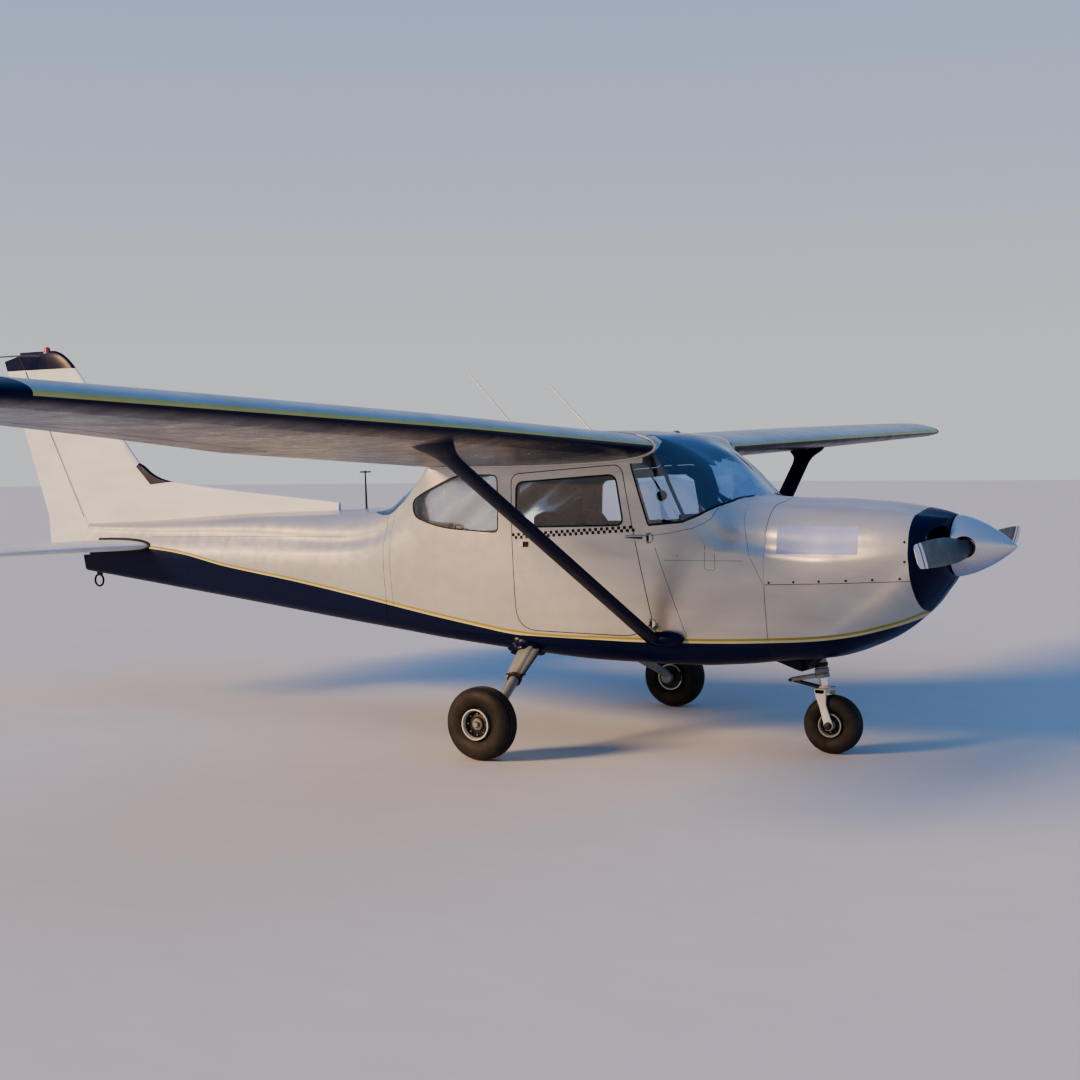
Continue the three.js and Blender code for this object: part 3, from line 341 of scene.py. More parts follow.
finishes = {
    "body": bodyFinish(),
    "wing": wingFinish(),
    "fin": finFinish(),
    "glass": glassFinish("windowGlass", (0.86, 0.92, 0.97), 1.5),
    # the windscreen and rear window glass is tinted strong blue: partly the glass's own tint, partly painted
    # sky reflection
    "screen": glassFinish("screenGlass", (0.42, 0.58, 0.78), 1.8),
    "blade": bladeFinish(),
    "tyre": tyreFinish(),
    "cloth": clothFinish("seatCloth", (0.016, 0.017, 0.020)),
    "silver": plainFinish("silverPaint", paints["silver"], **skinLook),
    "navy": plainFinish("navyPaint", paints["navy"], roughness=(0.22, 0.32), grime=0.3, dent=0.002,
                        sheen=0.15, grain=0.00001),
    "polished": plainFinish("polishedMetal", (0.62, 0.63, 0.64), roughness=(0.24, 0.30), metal=0.9,
                            dent=0.0004, dentSize=4, grime=0.15, grain=0.000005),
    "chrome": plainFinish("oleoChrome", (0.72, 0.73, 0.74), roughness=(0.06, 0.14), metal=1.0, dent=0.0002,
                          grime=0.2),
    "bare": plainFinish("bareMetal", (0.26, 0.26, 0.25), roughness=(0.34, 0.5), metal=0.8, dent=0.0006,
                        grime=0.6),
    "darkMetal": plainFinish("darkMetal", (0.030, 0.030, 0.032), roughness=(0.42, 0.6), metal=0.5,
                             dent=0.0008),
    "gearPaint": plainFinish("gearPaint", (0.27, 0.30, 0.31), roughness=(0.35, 0.5), metal=0.15, dent=0.0006,
                             grime=0.5, grimeStretch=(4, 3, 4)),
    "forkPaint": plainFinish("forkPaint", (0.76, 0.74, 0.67), roughness=(0.35, 0.5), dent=0.0005, grime=0.5),
    "rim": plainFinish("rimPaint", (0.66, 0.66, 0.64), roughness=(0.25, 0.4), metal=0.5, dent=0.0005,
                       grime=0.5),
    "black": plainFinish("blackTrim", (0.010, 0.010, 0.011), roughness=(0.45, 0.65), dent=0.0004, grime=0.25,
                         dust=(0.04, 0.04, 0.038), sheen=0.3),
    "seam": plainFinish("seamShadow", (0.07, 0.068, 0.066), roughness=(0.6, 0.8), dent=0.0002),
    "frame": plainFinish("windowFrame", (0.52, 0.52, 0.50), roughness=(0.34, 0.48), metal=0.35, dent=0.0012,
                         grime=0.4),
    # the liner's dark grey is partly its own colour and partly painted shade of the closed cabin
    "liner": plainFinish("cabinLiner", (0.10, 0.10, 0.105), roughness=(0.7, 0.85), dent=0.002, dentSize=12),
    "plastic": plainFinish("panelPlastic", (0.018, 0.018, 0.020), roughness=(0.5, 0.68), dent=0.0004),
    "dial": plainFinish("dialFace", (0.012, 0.013, 0.015), roughness=(0.12, 0.2), coat=0.6, dent=0.0001),
    "sticker": plainFinish("palePanel", (0.36, 0.43, 0.70), roughness=(0.4, 0.5), dent=0.0008, metal=0.1,
                           driftSize=5, drift=1.0),
    "shade": plainFinish("shadeFoil", (0.74, 0.73, 0.71), roughness=(0.18, 0.28), metal=0.85, dent=0.0006,
                         dentSize=5, grime=0.05, grain=0.00003),
    "beacon": plainFinish("beaconRed", (0.45, 0.03, 0.03), roughness=(0.12, 0.2), coat=0.8, dent=0.0002),
    "lampGreen": plainFinish("lampGreen", (0.03, 0.32, 0.10), roughness=(0.1, 0.2), coat=0.8, dent=0.0002),
    "stone": plainFinish("paleFloor", studio["floorColour"], roughness=(0.75, 0.9), dent=0.001, grime=0.05,
                         drift=0.1),
}

floorMesh = bpy.data.meshes.new("studioFloor")
rim = [(studio["floorRadius"] * math.cos(a / 32 * math.tau),
        studio["floorRadius"] * math.sin(a / 32 * math.tau), 0)
       for a in range(32)]
floorMesh.from_pydata(rim, [], [tuple(range(32))])
floorMesh.materials.append(finishes["stone"])
floor = bpy.data.objects.new("studioFloor", floorMesh)
bpy.context.scene.collection.objects.link(floor)

world = bpy.data.worlds.new("studioSky")
bpy.context.scene.world = world
world.use_nodes = True
skyTree = world.node_tree
skyWay = wire(skyTree, "ShaderNodeTexCoord").outputs["Generated"]
skyHeight = wire(skyTree, "ShaderNodeSeparateXYZ", {0: skyWay}).outputs["Z"]
skyColour = mixed(skyTree, spread(skyTree, skyHeight, 0.06, 0.5), studio["skyLow"], studio["skyHigh"])
skyTree.links.new(skyColour, skyTree.nodes["Background"].inputs["Color"])
skyTree.nodes["Background"].inputs["Strength"].default_value = studio["skyStrength"]
print("finishes are made")


# shapes, all drawn in millimetres
def at(x, y, z):
    return Vector(((x + originX) / 1000, y / 1000, z / 1000))


def newPiece(name, points, faces):
    mesh = bpy.data.meshes.new(name)
    mesh.from_pydata([at(*point) for point in points], [], faces)
    mesh.update()
    piece = bpy.data.objects.new(name, mesh)
    bpy.context.scene.collection.objects.link(piece)
    return piece


def faceOut(piece):
    work = bmesh.new()
    work.from_mesh(piece.data)
    bmesh.ops.remove_doubles(work, verts=work.verts, dist=1e-6)
    bmesh.ops.recalc_face_normals(work, faces=work.faces)
    work.to_mesh(piece.data)
    work.free()
    return piece


def loft(name, rings, closed=False):
    count = len(rings[0])
    points = [point for ring in rings for point in ring]
    faces = []
    for ring in range(len(rings) - (0 if closed else 1)):
        after = (ring + 1) % len(rings)
        for i in range(count):
            j = (i + 1) % count
            faces.append((ring * count + i, ring * count + j, after * count + j, after * count + i))
    if not closed:
        faces.append(tuple(range(count)))
        faces.append(tuple(range(len(points) - count, len(points))))
    return faceOut(newPiece(name, points, faces))


def prism(name, outline, axis, start, end):
    rings = []
    for value in (start, end):
        ring = [list(point) for point in outline]
        for corner in ring:
            corner.insert(axis, value)
        rings.append(ring)
    return loft(name, rings)


def sidePrism(outline, start=-far, end=far):
    return prism("tool", outline, 1, start, end)


def box(x0, x1, y0, y1, z0, z1, name="tool"):
    return prism(name, [(x0, y0), (x1, y0), (x1, y1), (x0, y1)], 2, z0, z1)


def between(x0, x1):
    return box(x0, x1, -far, far, -far, far)


def sweep(name, path, radius, sides=12, depth=None):
    # a bar along a path; radius is one number or one for each point, depth flattens it sideways
    points = [Vector(point) for point in path]
    radii = radius if isinstance(radius, (list, tuple)) else [radius] * len(points)
    tangent = (points[1] - points[0]).normalized()
    side = tangent.cross(Vector((0, 0, 1)) if abs(tangent.z) < 0.9 else Vector((1, 0, 0))).normalized()
    rings = []
    for i, point in enumerate(points):
        tangent = (points[min(i + 1, len(points) - 1)] - points[max(i - 1, 0)]).normalized()
        side = (side - tangent * side.dot(tangent)).normalized()
        other = tangent.cross(side)
        ratio = 1 if depth is None else depth / radii[i]
        rings.append([
            tuple(point + side * radii[i] * math.cos(math.tau * k / sides) * ratio
                  + other * radii[i] * math.sin(math.tau * k / sides))
            for k in range(sides)
        ])
    return loft(name, rings)


def loftAround(name, path, radius, sides=14):
    # a round bar that closes on itself
    points = [Vector(point) for point in path]
    middle = sum(points, Vector()) / len(points)
    rings = []
    for i, point in enumerate(points):
        tangent = (points[(i + 1) % len(points)] - points[i - 1]).normalized()
        out = (point - middle - tangent * (point - middle).dot(tangent)).normalized()
        other = tangent.cross(out)
        rings.append([tuple(point + (out * math.cos(math.tau * k / sides)
                                     + other * math.sin(math.tau * k / sides)) * radius)
                      for k in range(sides)])
    return loft(name, rings, closed=True)


def curved(path, steps=6):
    # a smooth path through the given points
    points = [Vector(point) for point in path]
    full = [points[0] * 2 - points[1], *points, points[-1] * 2 - points[-2]]
    out = []
    for a, b, c, d in zip(full, full[1:], full[2:], full[3:]):
        for step in range(steps):
            t = step / steps
            out.append((b * 2 + (c - a) * t + (a * 2 - b * 5 + c * 4 - d) * t * t
                        + (b * 3 - a - c * 3 + d) * t ** 3) / 2)
    return [tuple(point) for point in [*out, points[-1]]]


def spun(centre, axis, along, radius, angle):
    # the point at a distance along an axis, a radius from it and an angle round it
    first, second = [(1, 2), (0, 2), (0, 1)][axis]
    point = list(centre)
    point[axis] += along
    point[first] += radius * math.cos(angle)
    point[second] += radius * math.sin(angle)
    return tuple(point)


def lathe(name, profile, centre, axis=1, sides=48):
    # profile holds distance along the axis and radius
    angles = [math.tau * (k + 0.5) / sides for k in range(sides)]
    return loft(name, [[spun(centre, axis, *spot, angle) for angle in angles] for spot in profile])


def turned(name, loop, centre, axis=1, sides=48):
    # a closed profile loop turned into a ring
    angles = [math.tau * (k + 0.5) / sides for k in range(sides)]
    return loft(name, [[spun(centre, axis, *spot, angle) for spot in loop] for angle in angles], closed=True)


def copyOf(piece, name="tool"):
    twin = bpy.data.objects.new(name, piece.data.copy())
    bpy.context.scene.collection.objects.link(twin)
    return twin


def mirrored(piece, name):
    twin = copyOf(piece, name)
    for vertex in twin.data.vertices:
        vertex.co.y = -vertex.co.y
    twin.data.flip_normals()
    return twin


def drop(*pieces):
    for piece in pieces:
        bpy.data.objects.remove(piece)


def applied(piece):
    # what the modifiers make becomes the piece's own mesh
    depsgraph = bpy.context.evaluated_depsgraph_get()
    depsgraph.update()
    mesh = bpy.data.meshes.new_from_object(piece.evaluated_get(depsgraph))
    piece.modifiers.clear()
    piece.data = mesh
    return piece


def bevelled(piece, angle, width=0.006, segments=3):
    edge = piece.modifiers.new("edge", "BEVEL")
    edge.width = width
    edge.segments = segments
    edge.limit_method = "ANGLE"
    edge.angle_limit = math.radians(angle)
    return applied(piece)


def carve(piece, keeps=(), cuts=(), name=None):
    # cuts a copy of a solid with others; the solid and the tools go, unless they are kept for more cuts
    result = copyOf(piece, name or piece.name)
    for tool, operation in [(tool, "INTERSECT") for tool in keeps] + [(tool, "DIFFERENCE") for tool in cuts]:
        step = result.modifiers.new("cut", "BOOLEAN")
        step.operation = operation
        step.object = tool
        step.solver = "MANIFOLD"
    applied(result)
    drop(*[used for used in {piece, *keeps, *cuts} if used not in kept])
    return result


def paint(piece, finish, sharp=32):
    piece.data.materials.clear()
    piece.data.materials.append(finishes[finish])
    piece.data.shade_smooth()
    piece.data.set_sharp_from_angle(angle=math.radians(sharp))


def place(piece, body="airframe", slot=None, stands=()):
    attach(piece, body)
    if stands:
        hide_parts(*stands)
    return piece


def settle(piece, finish, body="airframe", slot=None, stands=(), sharp=32):
    paint(piece, finish, sharp)
    return place(piece, body, slot, stands)


def gather(name, parts):
    # several pieces, each with its own finish, as one mesh
    for part, finish in parts:
        paint(part, finish)
    pieces = [part for part, _ in parts]
    with bpy.context.temp_override(active_object=pieces[0], object=pieces[0],
                                   selected_editable_objects=pieces):
        bpy.ops.object.join()
    pieces[0].name = name
    pieces[0].data.name = name
    return pieces[0]


def pairOf(left, rightName):
    # a piece of the left side and its mirror image, each with the word for its side
    return (left, "left"), (mirrored(left, rightName), "right")


def rounded(outline, grow=0, steps=6):
    shape = []
    count = len(outline)
    for i, (x, z, radius) in enumerate(outline):
        corner = Vector((x, z))
        before = Vector(outline[i - 1][:2]) - corner
        after = Vector(outline[(i + 1) % count][:2]) - corner
        if radius == 0:
            shape.append((x, z))
            continue
        reach = min(radius, before.length * 0.48, after.length * 0.48)
        start, end = before.normalized() * reach, after.normalized() * reach
        for step in range(steps + 1):
            t = step / steps
            shape.append(tuple(corner + start * (1 - t) ** 2 + end * t * t))
    return grown(shape, grow) if grow else shape


def grown(shape, distance):
    area = sum(a[0] * b[1] - b[0] * a[1] for a, b in zip(shape, shape[1:] + shape[:1]))
    turn = 1 if area > 0 else -1
    out = []
    for i, corner in enumerate(shape):
        sides = []
        for a, b in ((shape[i - 1], corner), (corner, shape[(i + 1) % len(shape)])):
            sides.append(Vector((b[1] - a[1], a[0] - b[0])).normalized() * turn)
        middle = (sides[0] + sides[1]).normalized()
        out.append(tuple(Vector(corner) + middle * distance / max(0.4, middle.dot(sides[0]))))
    return out


def ribbon(name, path, normals, width, height, closed=False):
    # a low rounded strip that lies on a surface
    points = [Vector(point) for point in path]
    count = len(points)
    rings = []
    for i, point in enumerate(points):
        before = points[i - 1] if closed or i else points[0]
        after = points[(i + 1) % count] if closed or i + 1 < count else points[-1]
        tangent = (after - before).normalized()
        out = Vector(normals[i]).normalized()
        side = tangent.cross(out).normalized()
        section = [(-0.5, -0.6), (-0.5, 0.55), (-0.3, 1), (0.3, 1), (0.5, 0.55), (0.5, -0.6)]
        rings.append([tuple(point + side * across * width + out * rise * height) for across, rise in section])
    return loft(name, rings, closed=closed)


def treeOf(piece):
    return BVHTree.FromPolygons([vertex.co for vertex in piece.data.vertices],
                                [tuple(polygon.vertices) for polygon in piece.data.polygons])


def touch(tree, start, way):
    # where a ray meets a surface, in millimetres of the drawing, and the way the surface faces
    hit, normal, _, _ = tree.ray_cast(at(*start), Vector(way))
    if hit is None:
        return None
    if normal.dot(Vector(way)) > 0:
        normal = -normal
    return (hit.x * 1000 - originX, hit.y * 1000, hit.z * 1000), tuple(normal)


def fromSide(tree, x, z, side, start=1400):
    # the spot of a surface that shows at x and z when it is seen from one side
    return touch(tree, (x, side * start, z), (0, -side, 0))


def onSide(tree, points, side=-1, spacing=25):
    # follows a side view line over the body's skin
    spots = []
    for (x0, z0), (x1, z1) in zip(points, points[1:]):
        steps = max(1, round(math.hypot(x1 - x0, z1 - z0) / spacing))
        spots += [(x0 + (x1 - x0) * (step / steps), z0 + (z1 - z0) * (step / steps)) for step in range(steps)]
    found = [fromSide(tree, x, z, side) for x, z in [*spots, points[-1]]]
    found = [spot for spot in found if spot]
    return [spot[0] for spot in found], [spot[1] for spot in found]


# Geometry Nodes that set a small shape out on points
def makeSetOut(name, shape):
    tree = bpy.data.node_groups.new(name, "GeometryNodeTree")
    for label, kind in (("Points", "NodeSocketGeometry"), ("Radius", "NodeSocketFloat"),
                        ("Top", "NodeSocketFloat"),
                        ("Height", "NodeSocketFloat"), ("Finish", "NodeSocketMaterial")):
        tree.interface.new_socket(name=label, in_out="INPUT", socket_type=kind)
    tree.interface.new_socket(name="Result", in_out="OUTPUT", socket_type="NodeSocketGeometry")
    given = tree.nodes.new("NodeGroupInput")
    result = tree.nodes.new("NodeGroupOutput")
    if shape == "square":
        solid = tree.nodes.new("GeometryNodeMeshCube")
        size = tree.nodes.new("ShaderNodeCombineXYZ")
        tree.links.new(given.outputs["Radius"], size.inputs[0])
        tree.links.new(given.outputs["Top"], size.inputs[1])
        tree.links.new(given.outputs["Height"], size.inputs[2])
        tree.links.new(size.outputs[0], solid.inputs["Size"])
    else:
        solid = wire(tree, "GeometryNodeMeshCone", {"Vertices": 8})
        tree.links.new(given.outputs["Radius"], solid.inputs["Radius Bottom"])
        tree.links.new(given.outputs["Top"], solid.inputs["Radius Top"])
        tree.links.new(given.outputs["Height"], solid.inputs["Depth"])
    facing = wire(tree, "GeometryNodeInputNamedAttribute", {"Name": "facing"},
                  data_type="FLOAT_VECTOR").outputs[0]
    along = wire(tree, "GeometryNodeInputNamedAttribute", {"Name": "along"},
                 data_type="FLOAT_VECTOR").outputs[0]
    outward = wire(tree, "FunctionNodeAlignRotationToVector", {"Vector": facing}, axis="Z")
    turned = wire(tree, "FunctionNodeAlignRotationToVector",
                  {"Rotation": outward.outputs[0], "Vector": along},
                  axis="X", pivot_axis="Z")
    spots = wire(tree, "GeometryNodeInstanceOnPoints", {"Points": given.outputs["Points"],
                 "Instance": solid.outputs[0], "Rotation": turned.outputs[0]})
    real = wire(tree, "GeometryNodeRealizeInstances", {0: spots.outputs[0]})
    painted = wire(tree, "GeometryNodeSetMaterial",
                   {"Geometry": real.outputs[0], "Material": given.outputs["Finish"]})
    tree.links.new(painted.outputs[0], result.inputs[0])
    return tree


setOutTrees = {"round": makeSetOut("setOutRound", "round"), "square": makeSetOut("setOutSquare", "square")}


def setOut(name, spots, shape, radius, top, height, finish):
    # spots hold a point in millimetres, the way it faces and the way its length runs
    piece = newPiece(name, [spot[0] for spot in spots], [])
    for label, index in (("facing", 1), ("along", 2)):
        layer = piece.data.attributes.new(label, "FLOAT_VECTOR", "POINT")
        for value, spot in zip(layer.data, spots):
            value.vector = spot[index]
    step = piece.modifiers.new("setOut", "NODES")
    step.node_group = setOutTrees[shape]
    values = {"Radius": radius / 1000, "Top": top / 1000, "Height": height / 1000, "Finish": finishes[finish]}
    for item in step.node_group.interface.items_tree:
        if item.in_out == "INPUT" and item.name in values:
            step[item.identifier] = values[item.name]
    applied(piece)
    for label in ("facing", "along"):
        if label in piece.data.attributes:
            piece.data.attributes.remove(piece.data.attributes[label])
    return piece


def rowOf(tree, points, spacing, side=-1):
    # spots along a side view line, evenly spaced over the skin
    spots = []
    for (x0, z0), (x1, z1) in zip(points, points[1:]):
        count = max(1, round(math.hypot(x1 - x0, z1 - z0) / spacing))
        for step in range(count):
            t = (step + 0.5) / count
            found = fromSide(tree, x0 + (x1 - x0) * t, z0 + (z1 - z0) * t, side)
            if found:
                spots.append((*found, (x1 - x0, 0, z1 - z0)))
    return spots


# body
body = {
    # x, lowest and highest z, half width at the lower corner, belt and upper corner, belt z, corner radii,
    # crown, height and bend of the lower corner
    "rows": [
        [0, 565, 1528, 430, 505, 480, 1180, 140, 250, 30, 140, 1],
        [-215, 538, 1545, 452, 521, 505, 1202, 129, 240, 25, 129, 1],
        [-310, 530, 1651, 460, 529, 506, 1215, 125, 320, 40, 125, 1],
        [-440, 520, 1780, 470, 538, 512, 1230, 120, 312, 45, 120, 1],
        [-590, 517, 1860, 480, 546, 532, 1240, 115, 266, 30, 115, 1],
        [-740, 515, 1920, 490, 552, 556.5, 1250, 110, 110, 15, 110, 1],
        [-1100, 515, 1943, 495, 555, 556.5, 1250, 110, 40, 8, 110, 1],
        [-1720, 545, 1884, 490, 552, 556.5, 1250, 110, 40, 8, 110, 1],
        [-2345, 590, 1762, 475, 535, 548, 1240, 110, 60, 10, 110, 1],
        [-2480, 602, 1682, 463, 520, 500, 1220, 108, 120, 14, 108, 1],
        [-2640, 617, 1592, 449, 503, 455, 1195, 105, 160, 20, 105, 1],
        [-2850, 635, 1475, 427, 468, 420, 1165, 102, 180, 24, 102, 1],
        [-3097, 655, 1440, 400, 430, 380, 1130, 100, 190, 25, 100, 1],
        [-4200, 750, 1392, 270, 300, 235, 1090, 85, 130, 20, 85, 1],
        [-5310, 850, 1334, 165, 195, 130, 1090, 60, 90, 15, 60, 1],
        [-6000, 912, 1300, 95, 115, 70, 1090, 35, 50, 8, 35, 1],
    ],
    "wall": 40, "glass": 6, "skin": 12, "seat": 0.3, "floorTop": 655, "bulkhead": -2760, "tailEnd": -5985,
    "wallFront": -28.4, "doorGap": 5,
}
cowlRows = [
    [940, 1092, 1433, 190, 205, 195, 1260, 175, 150, 8, 150, 1.1],
    [925, 1058, 1441, 262, 285, 272, 1245, 235, 165, 15, 170, 1.15],
    [870, 980, 1458, 330, 360, 350, 1230, 290, 175, 25, 225, 1.2],
    [788, 873, 1475, 398, 408, 403, 1225, 350, 180, 30, 300, 1.2],
    [600, 726, 1504, 395, 462, 450, 1190, 310, 220, 35, 290, 1.12],
    [450, 654, 1514, 400, 484, 466, 1170, 250, 240, 35, 240, 1.06],
    [300, 600, 1524, 412, 500, 480, 1160, 180, 260, 35, 180, 1],
    *body["rows"][:3],
]


def smoothRows(rows):
    # a function that gives every column at any x, without overshoot
    rows = sorted(rows)
    xs = [row[0] for row in rows]
    gaps = [b - a for a, b in zip(xs, xs[1:])]
    slopes = []
    for column in range(1, len(rows[0])):
        rise = [(rows[i + 1][column] - rows[i][column]) / gaps[i] for i in range(len(gaps))]
        inner = [0 if a * b <= 0 else 2 * a * b / (a + b) for a, b in zip(rise, rise[1:])]
        slopes.append([rise[0], *inner, rise[-1]])

    def rowAt(x):
        i = min(max(bisect_right(xs, x) - 1, 0), len(gaps) - 1)
        t = (x - xs[i]) / gaps[i]
        row = [x]
        for column, slope in enumerate(slopes, 1):
            a, b = rows[i][column], rows[i + 1][column]
            row.append(a * (1 + 2 * t) * (1 - t) ** 2 + b * t * t * (3 - 2 * t)
                       + gaps[i] * (slope[i] * t * (1 - t) ** 2 - slope[i + 1] * t * t * (1 - t)))
        return row
    return rowAt, xs


def bodyRing(row, grow=0):
    x, low, high, lowHalf, beltHalf, topHalf, beltZ, lowRadius, topRadius, crown, lowRise, bend = row
    half = [(0, low - grow)]
    inner, rise, outer = (max(value + grow, 6) for value in (lowRadius, lowRise, topRadius))
    for step in range(5):
        angle = math.pi / 2 * step / 4
        half.append((lowHalf + grow - inner + inner * math.sin(angle) ** bend,
                     low + 6 - grow + rise - rise * abs(math.cos(angle)) ** bend))
    half.append((beltHalf + grow, beltZ))
    for step in range(6):
        angle = math.pi / 2 * step / 5
        half.append((topHalf + grow - outer + outer * math.cos(angle),
                     high + grow - crown - outer + outer * math.sin(angle)))
    half.append((0, high + grow))
    controls = half + [(-y, z) for y, z in half[-2:0:-1]]
    return [(x, y, z) for y, z in smoothRing(controls)]


def smoothRing(controls, steps=4):
    # a closed centripetal curve through the points
    count = len(controls)
    ring = []
    for i in range(count):
        p = [Vector(controls[(i + k - 1) % count]) for k in range(4)]
        t = [0.0]
        for a, b in zip(p, p[1:]):
            t.append(t[-1] + max((b - a).length, 1e-4) ** 0.5)
        for step in range(steps):
            s = t[1] + (t[2] - t[1]) * step / steps
            level = p
            for depth in (1, 2):
                level = [level[k] * ((t[k + depth] - s) / (t[k + depth] - t[k]))
                         + level[k + 1] * ((s - t[k]) / (t[k + depth] - t[k])) for k in range(len(level) - 1)]
            ring.append(tuple(level[0] * ((t[2] - s) / (t[2] - t[1]))
                              + level[1] * ((s - t[1]) / (t[2] - t[1]))))
    return ring


def bodyLoft(rows, name, grow=0, stretch=0, step=50, tailStep=120):
    rowAt, xs = smoothRows(rows)
    stations = []
    for a, b in zip(xs, xs[1:]):
        count = max(1, math.ceil((b - a) / (tailStep if b < -3000 else step)))
        stations += [a + (b - a) * k / count for k in range(count)]
    rings = [bodyRing(rowAt(x), grow) for x in [*stations, xs[-1]]]
    if stretch:
        rings.insert(0, [(x - stretch, y, z) for x, y, z in rings[0]])
        rings.append([(x + stretch, y, z) for x, y, z in rings[-1]])
    return loft(name, rings)


bodySolid = bodyLoft(body["rows"], "bodySolid")
bodyProud = bodyLoft(body["rows"], "bodyProud", body["seat"])
bodyInside = bodyLoft(body["rows"], "bodyInside", -body["wall"], 20)
bodyUnderGlass = bodyLoft(body["rows"], "bodyUnderGlass", -body["glass"], 20)
kept = {bodySolid, bodyProud, bodyInside, bodyUnderGlass}
bodyTree = treeOf(bodySolid)
print("body solids are made")

outlines = {
    "door": [(-739, 778, 50), (-925, 1730, 60), (-1700, 1672, 60), (-1700, 693, 150), (-868, 693, 70)],
    "doorWindow": [(-912, 1368, 50), (-965, 1668, 50), (-1662, 1620, 50), (-1668, 1345, 50)],
    "quarter": [(-1808, 1307, 40), (-1808, 1668, 45), (-2120, 1668, 90), (-2510, 1500, 60), (-2480, 1400, 60),
                (-2250, 1330, 200)],
    "windscreen": [(-205, 1556, 0), (-228, 1542, 0), (-280, 1510, 30), (-330, 1490, 40), (-440, 1430, 40),
                   (-530, 1390, 40), (-742, 1369, 20), (-862, 1737, 0), (-780, 1739, 0), (-780, 2200, 0),
                   (-205, 2200, 0)],
    "rear": [(-2430, 1800, 0), (-2462, 1700, 20), (-2560, 1530, 60), (-2740, 1405, 60), (-2840, 1398, 40),
             (-3085, 1434, 0), (-3085, 1800, 0)],
}


def ceilingZ(x):
    return 1772 + 0.0411 * (x + 700)


def ceilingSide(edge, gap):
    return sidePrism([(far, ceilingZ(far) + gap), (-far, ceilingZ(-far) + gap), (-far, edge), (far, edge)])


def lineInside(piece, depth, finish="liner"):
    # faces well under the outer skin take the cabin's lining
    piece.data.materials.append(finishes[finish])
    last = len(piece.data.materials) - 1
    for polygon in piece.data.polygons:
        if bodyTree.find_nearest(polygon.center)[3] > depth / 1000:
            polygon.material_index = last
    return piece


seat = body["seat"]
holes = {name: sidePrism(rounded(outlines[name])) for name in ("windscreen", "rear", "quarter")}
holes["door"] = sidePrism(rounded(outlines["door"], body["doorGap"]), 0, far)
wallLeft = carve(bodySolid, [
    between(body["bulkhead"], body["wallFront"]), box(-far, far, seat / 2, far, body["floorTop"] + seat, far),
    ceilingSide(-far, 0),
], [bodyInside, *holes.values()], "wallLeft")
for piece, side in pairOf(wallLeft, "wallRight"):
    settle(piece, "body", slot="silver_paint", stands=[f"side_wall_{side}"])
    lineInside(piece, 12)

roofHole = sidePrism(rounded(outlines["rear"]))
roof = carve(bodySolid, [between(-2600, -780), ceilingSide(far, seat)], [bodyInside, roofHole], "roofPanel")
lineInside(settle(roof, "silver", slot="silver_paint", stands=["roof"]), 12)

belly = carve(bodySolid, [between(body["bulkhead"], body["wallFront"]),
                          box(-2 * far, far, -far, far, -far, body["floorTop"])], name="bellyFloor")
settle(belly, "navy", slot="navy_paint", stands=["floor"])
firewall = carve(bodyInside, [between(-36, -28.5)], name="firewallSheet")
settle(firewall, "bare", slot="bare_metal", stands=["firewall"])


def pane(name, outline, start, end, node, ride="airframe", finish="glass"):
    region = sidePrism(grown(rounded(outline), -seat), start, end)
    glass = carve(bodySolid, [region], [bodyUnderGlass], name)
    return settle(glass, finish, ride, "window_glass", [node])


pane("frontScreen", outlines["windscreen"], -far, far, "windscreen", finish="screen")
pane("backScreen", outlines["rear"], -far, far, "rear_window", finish="screen")
for side, start, end in (("left", 0, far), ("right", -far, 0)):
    pane(f"quarterPane_{side}", outlines["quarter"], start, end, f"quarter_window_{side}")
    pane(f"doorPane_{side}", outlines["doorWindow"], start, end, f"door_glass_{side}", f"door_{side}_body")
print("cabin shell and windows are made")

# doors
doorLeft = carve(bodySolid, [sidePrism(rounded(outlines["door"]), 100, far)],
                 [bodyInside, sidePrism(rounded(outlines["doorWindow"]), 0, far)], "doorPanel_left")
for piece, side in pairOf(doorLeft, "doorPanel_right"):
    settle(piece, "body", f"door_{side}_body", "silver_paint", [f"door_{side}"])
    lineInside(piece, 12)
print("doors are made")


# rudder region, tail cone
rudderHinge = {"x": -6034, "z": 1286, "slope": -0.564, "low": 1050, "high": 2655, "socket": 1070}
finShape = {"thickness": 0.07, "kneeZ": 1354, "top": 2532}


def rudderHingeX(z):
    return rudderHinge["x"] + rudderHinge["slope"] * (z - rudderHinge["z"])


def finLeadX(z):
    return -5322 - 0.902 * (z - 1604)


def finTrailX(z):
    return -6495 - (0.395 if z > finShape["kneeZ"] else 0.094) * (z - finShape["kneeZ"])


def halfThick(thickness, share):
    return 5 * thickness * (0.2969 * math.sqrt(share) - 0.126 * share - 0.3516 * share ** 2
                            + 0.2843 * share ** 3
                            - 0.1015 * share ** 4)


def rudderRegion(gap, low, high):
    rings = []
    for z in (low - gap, high + gap):
        x = rudderHingeX(z)
        chord = finLeadX(z) - finTrailX(z)
        radius = chord * halfThick(finShape["thickness"], (finLeadX(z) - x) / chord) + 1 + gap
        ring = [(x - 900, -400, z), (x - 900, 400, z), (x, 400, z)]
        for step in range(17):
            angle = math.pi / 2 - math.pi * step / 16
            ring.append((x + radius * math.cos(angle), radius * math.sin(angle), z))
        ring.append((x, -400, z))
        rings.append(ring)
    return loft("tool", rings)


coneInside = carve(bodyLoft(body["rows"], "tool", -body["skin"], 20),
                   [between(body["tailEnd"] + body["skin"], far)])
coneHole = sidePrism(rounded(outlines["rear"]))
cone = carve(bodySolid, [between(body["tailEnd"], body["bulkhead"] - 3)],
             [coneInside, coneHole, rudderRegion(6, rudderHinge["low"], 2000)], "tailCone")
settle(cone, "body", slot="silver_paint", stands=["tail_cone"])
print("tail cone is made")

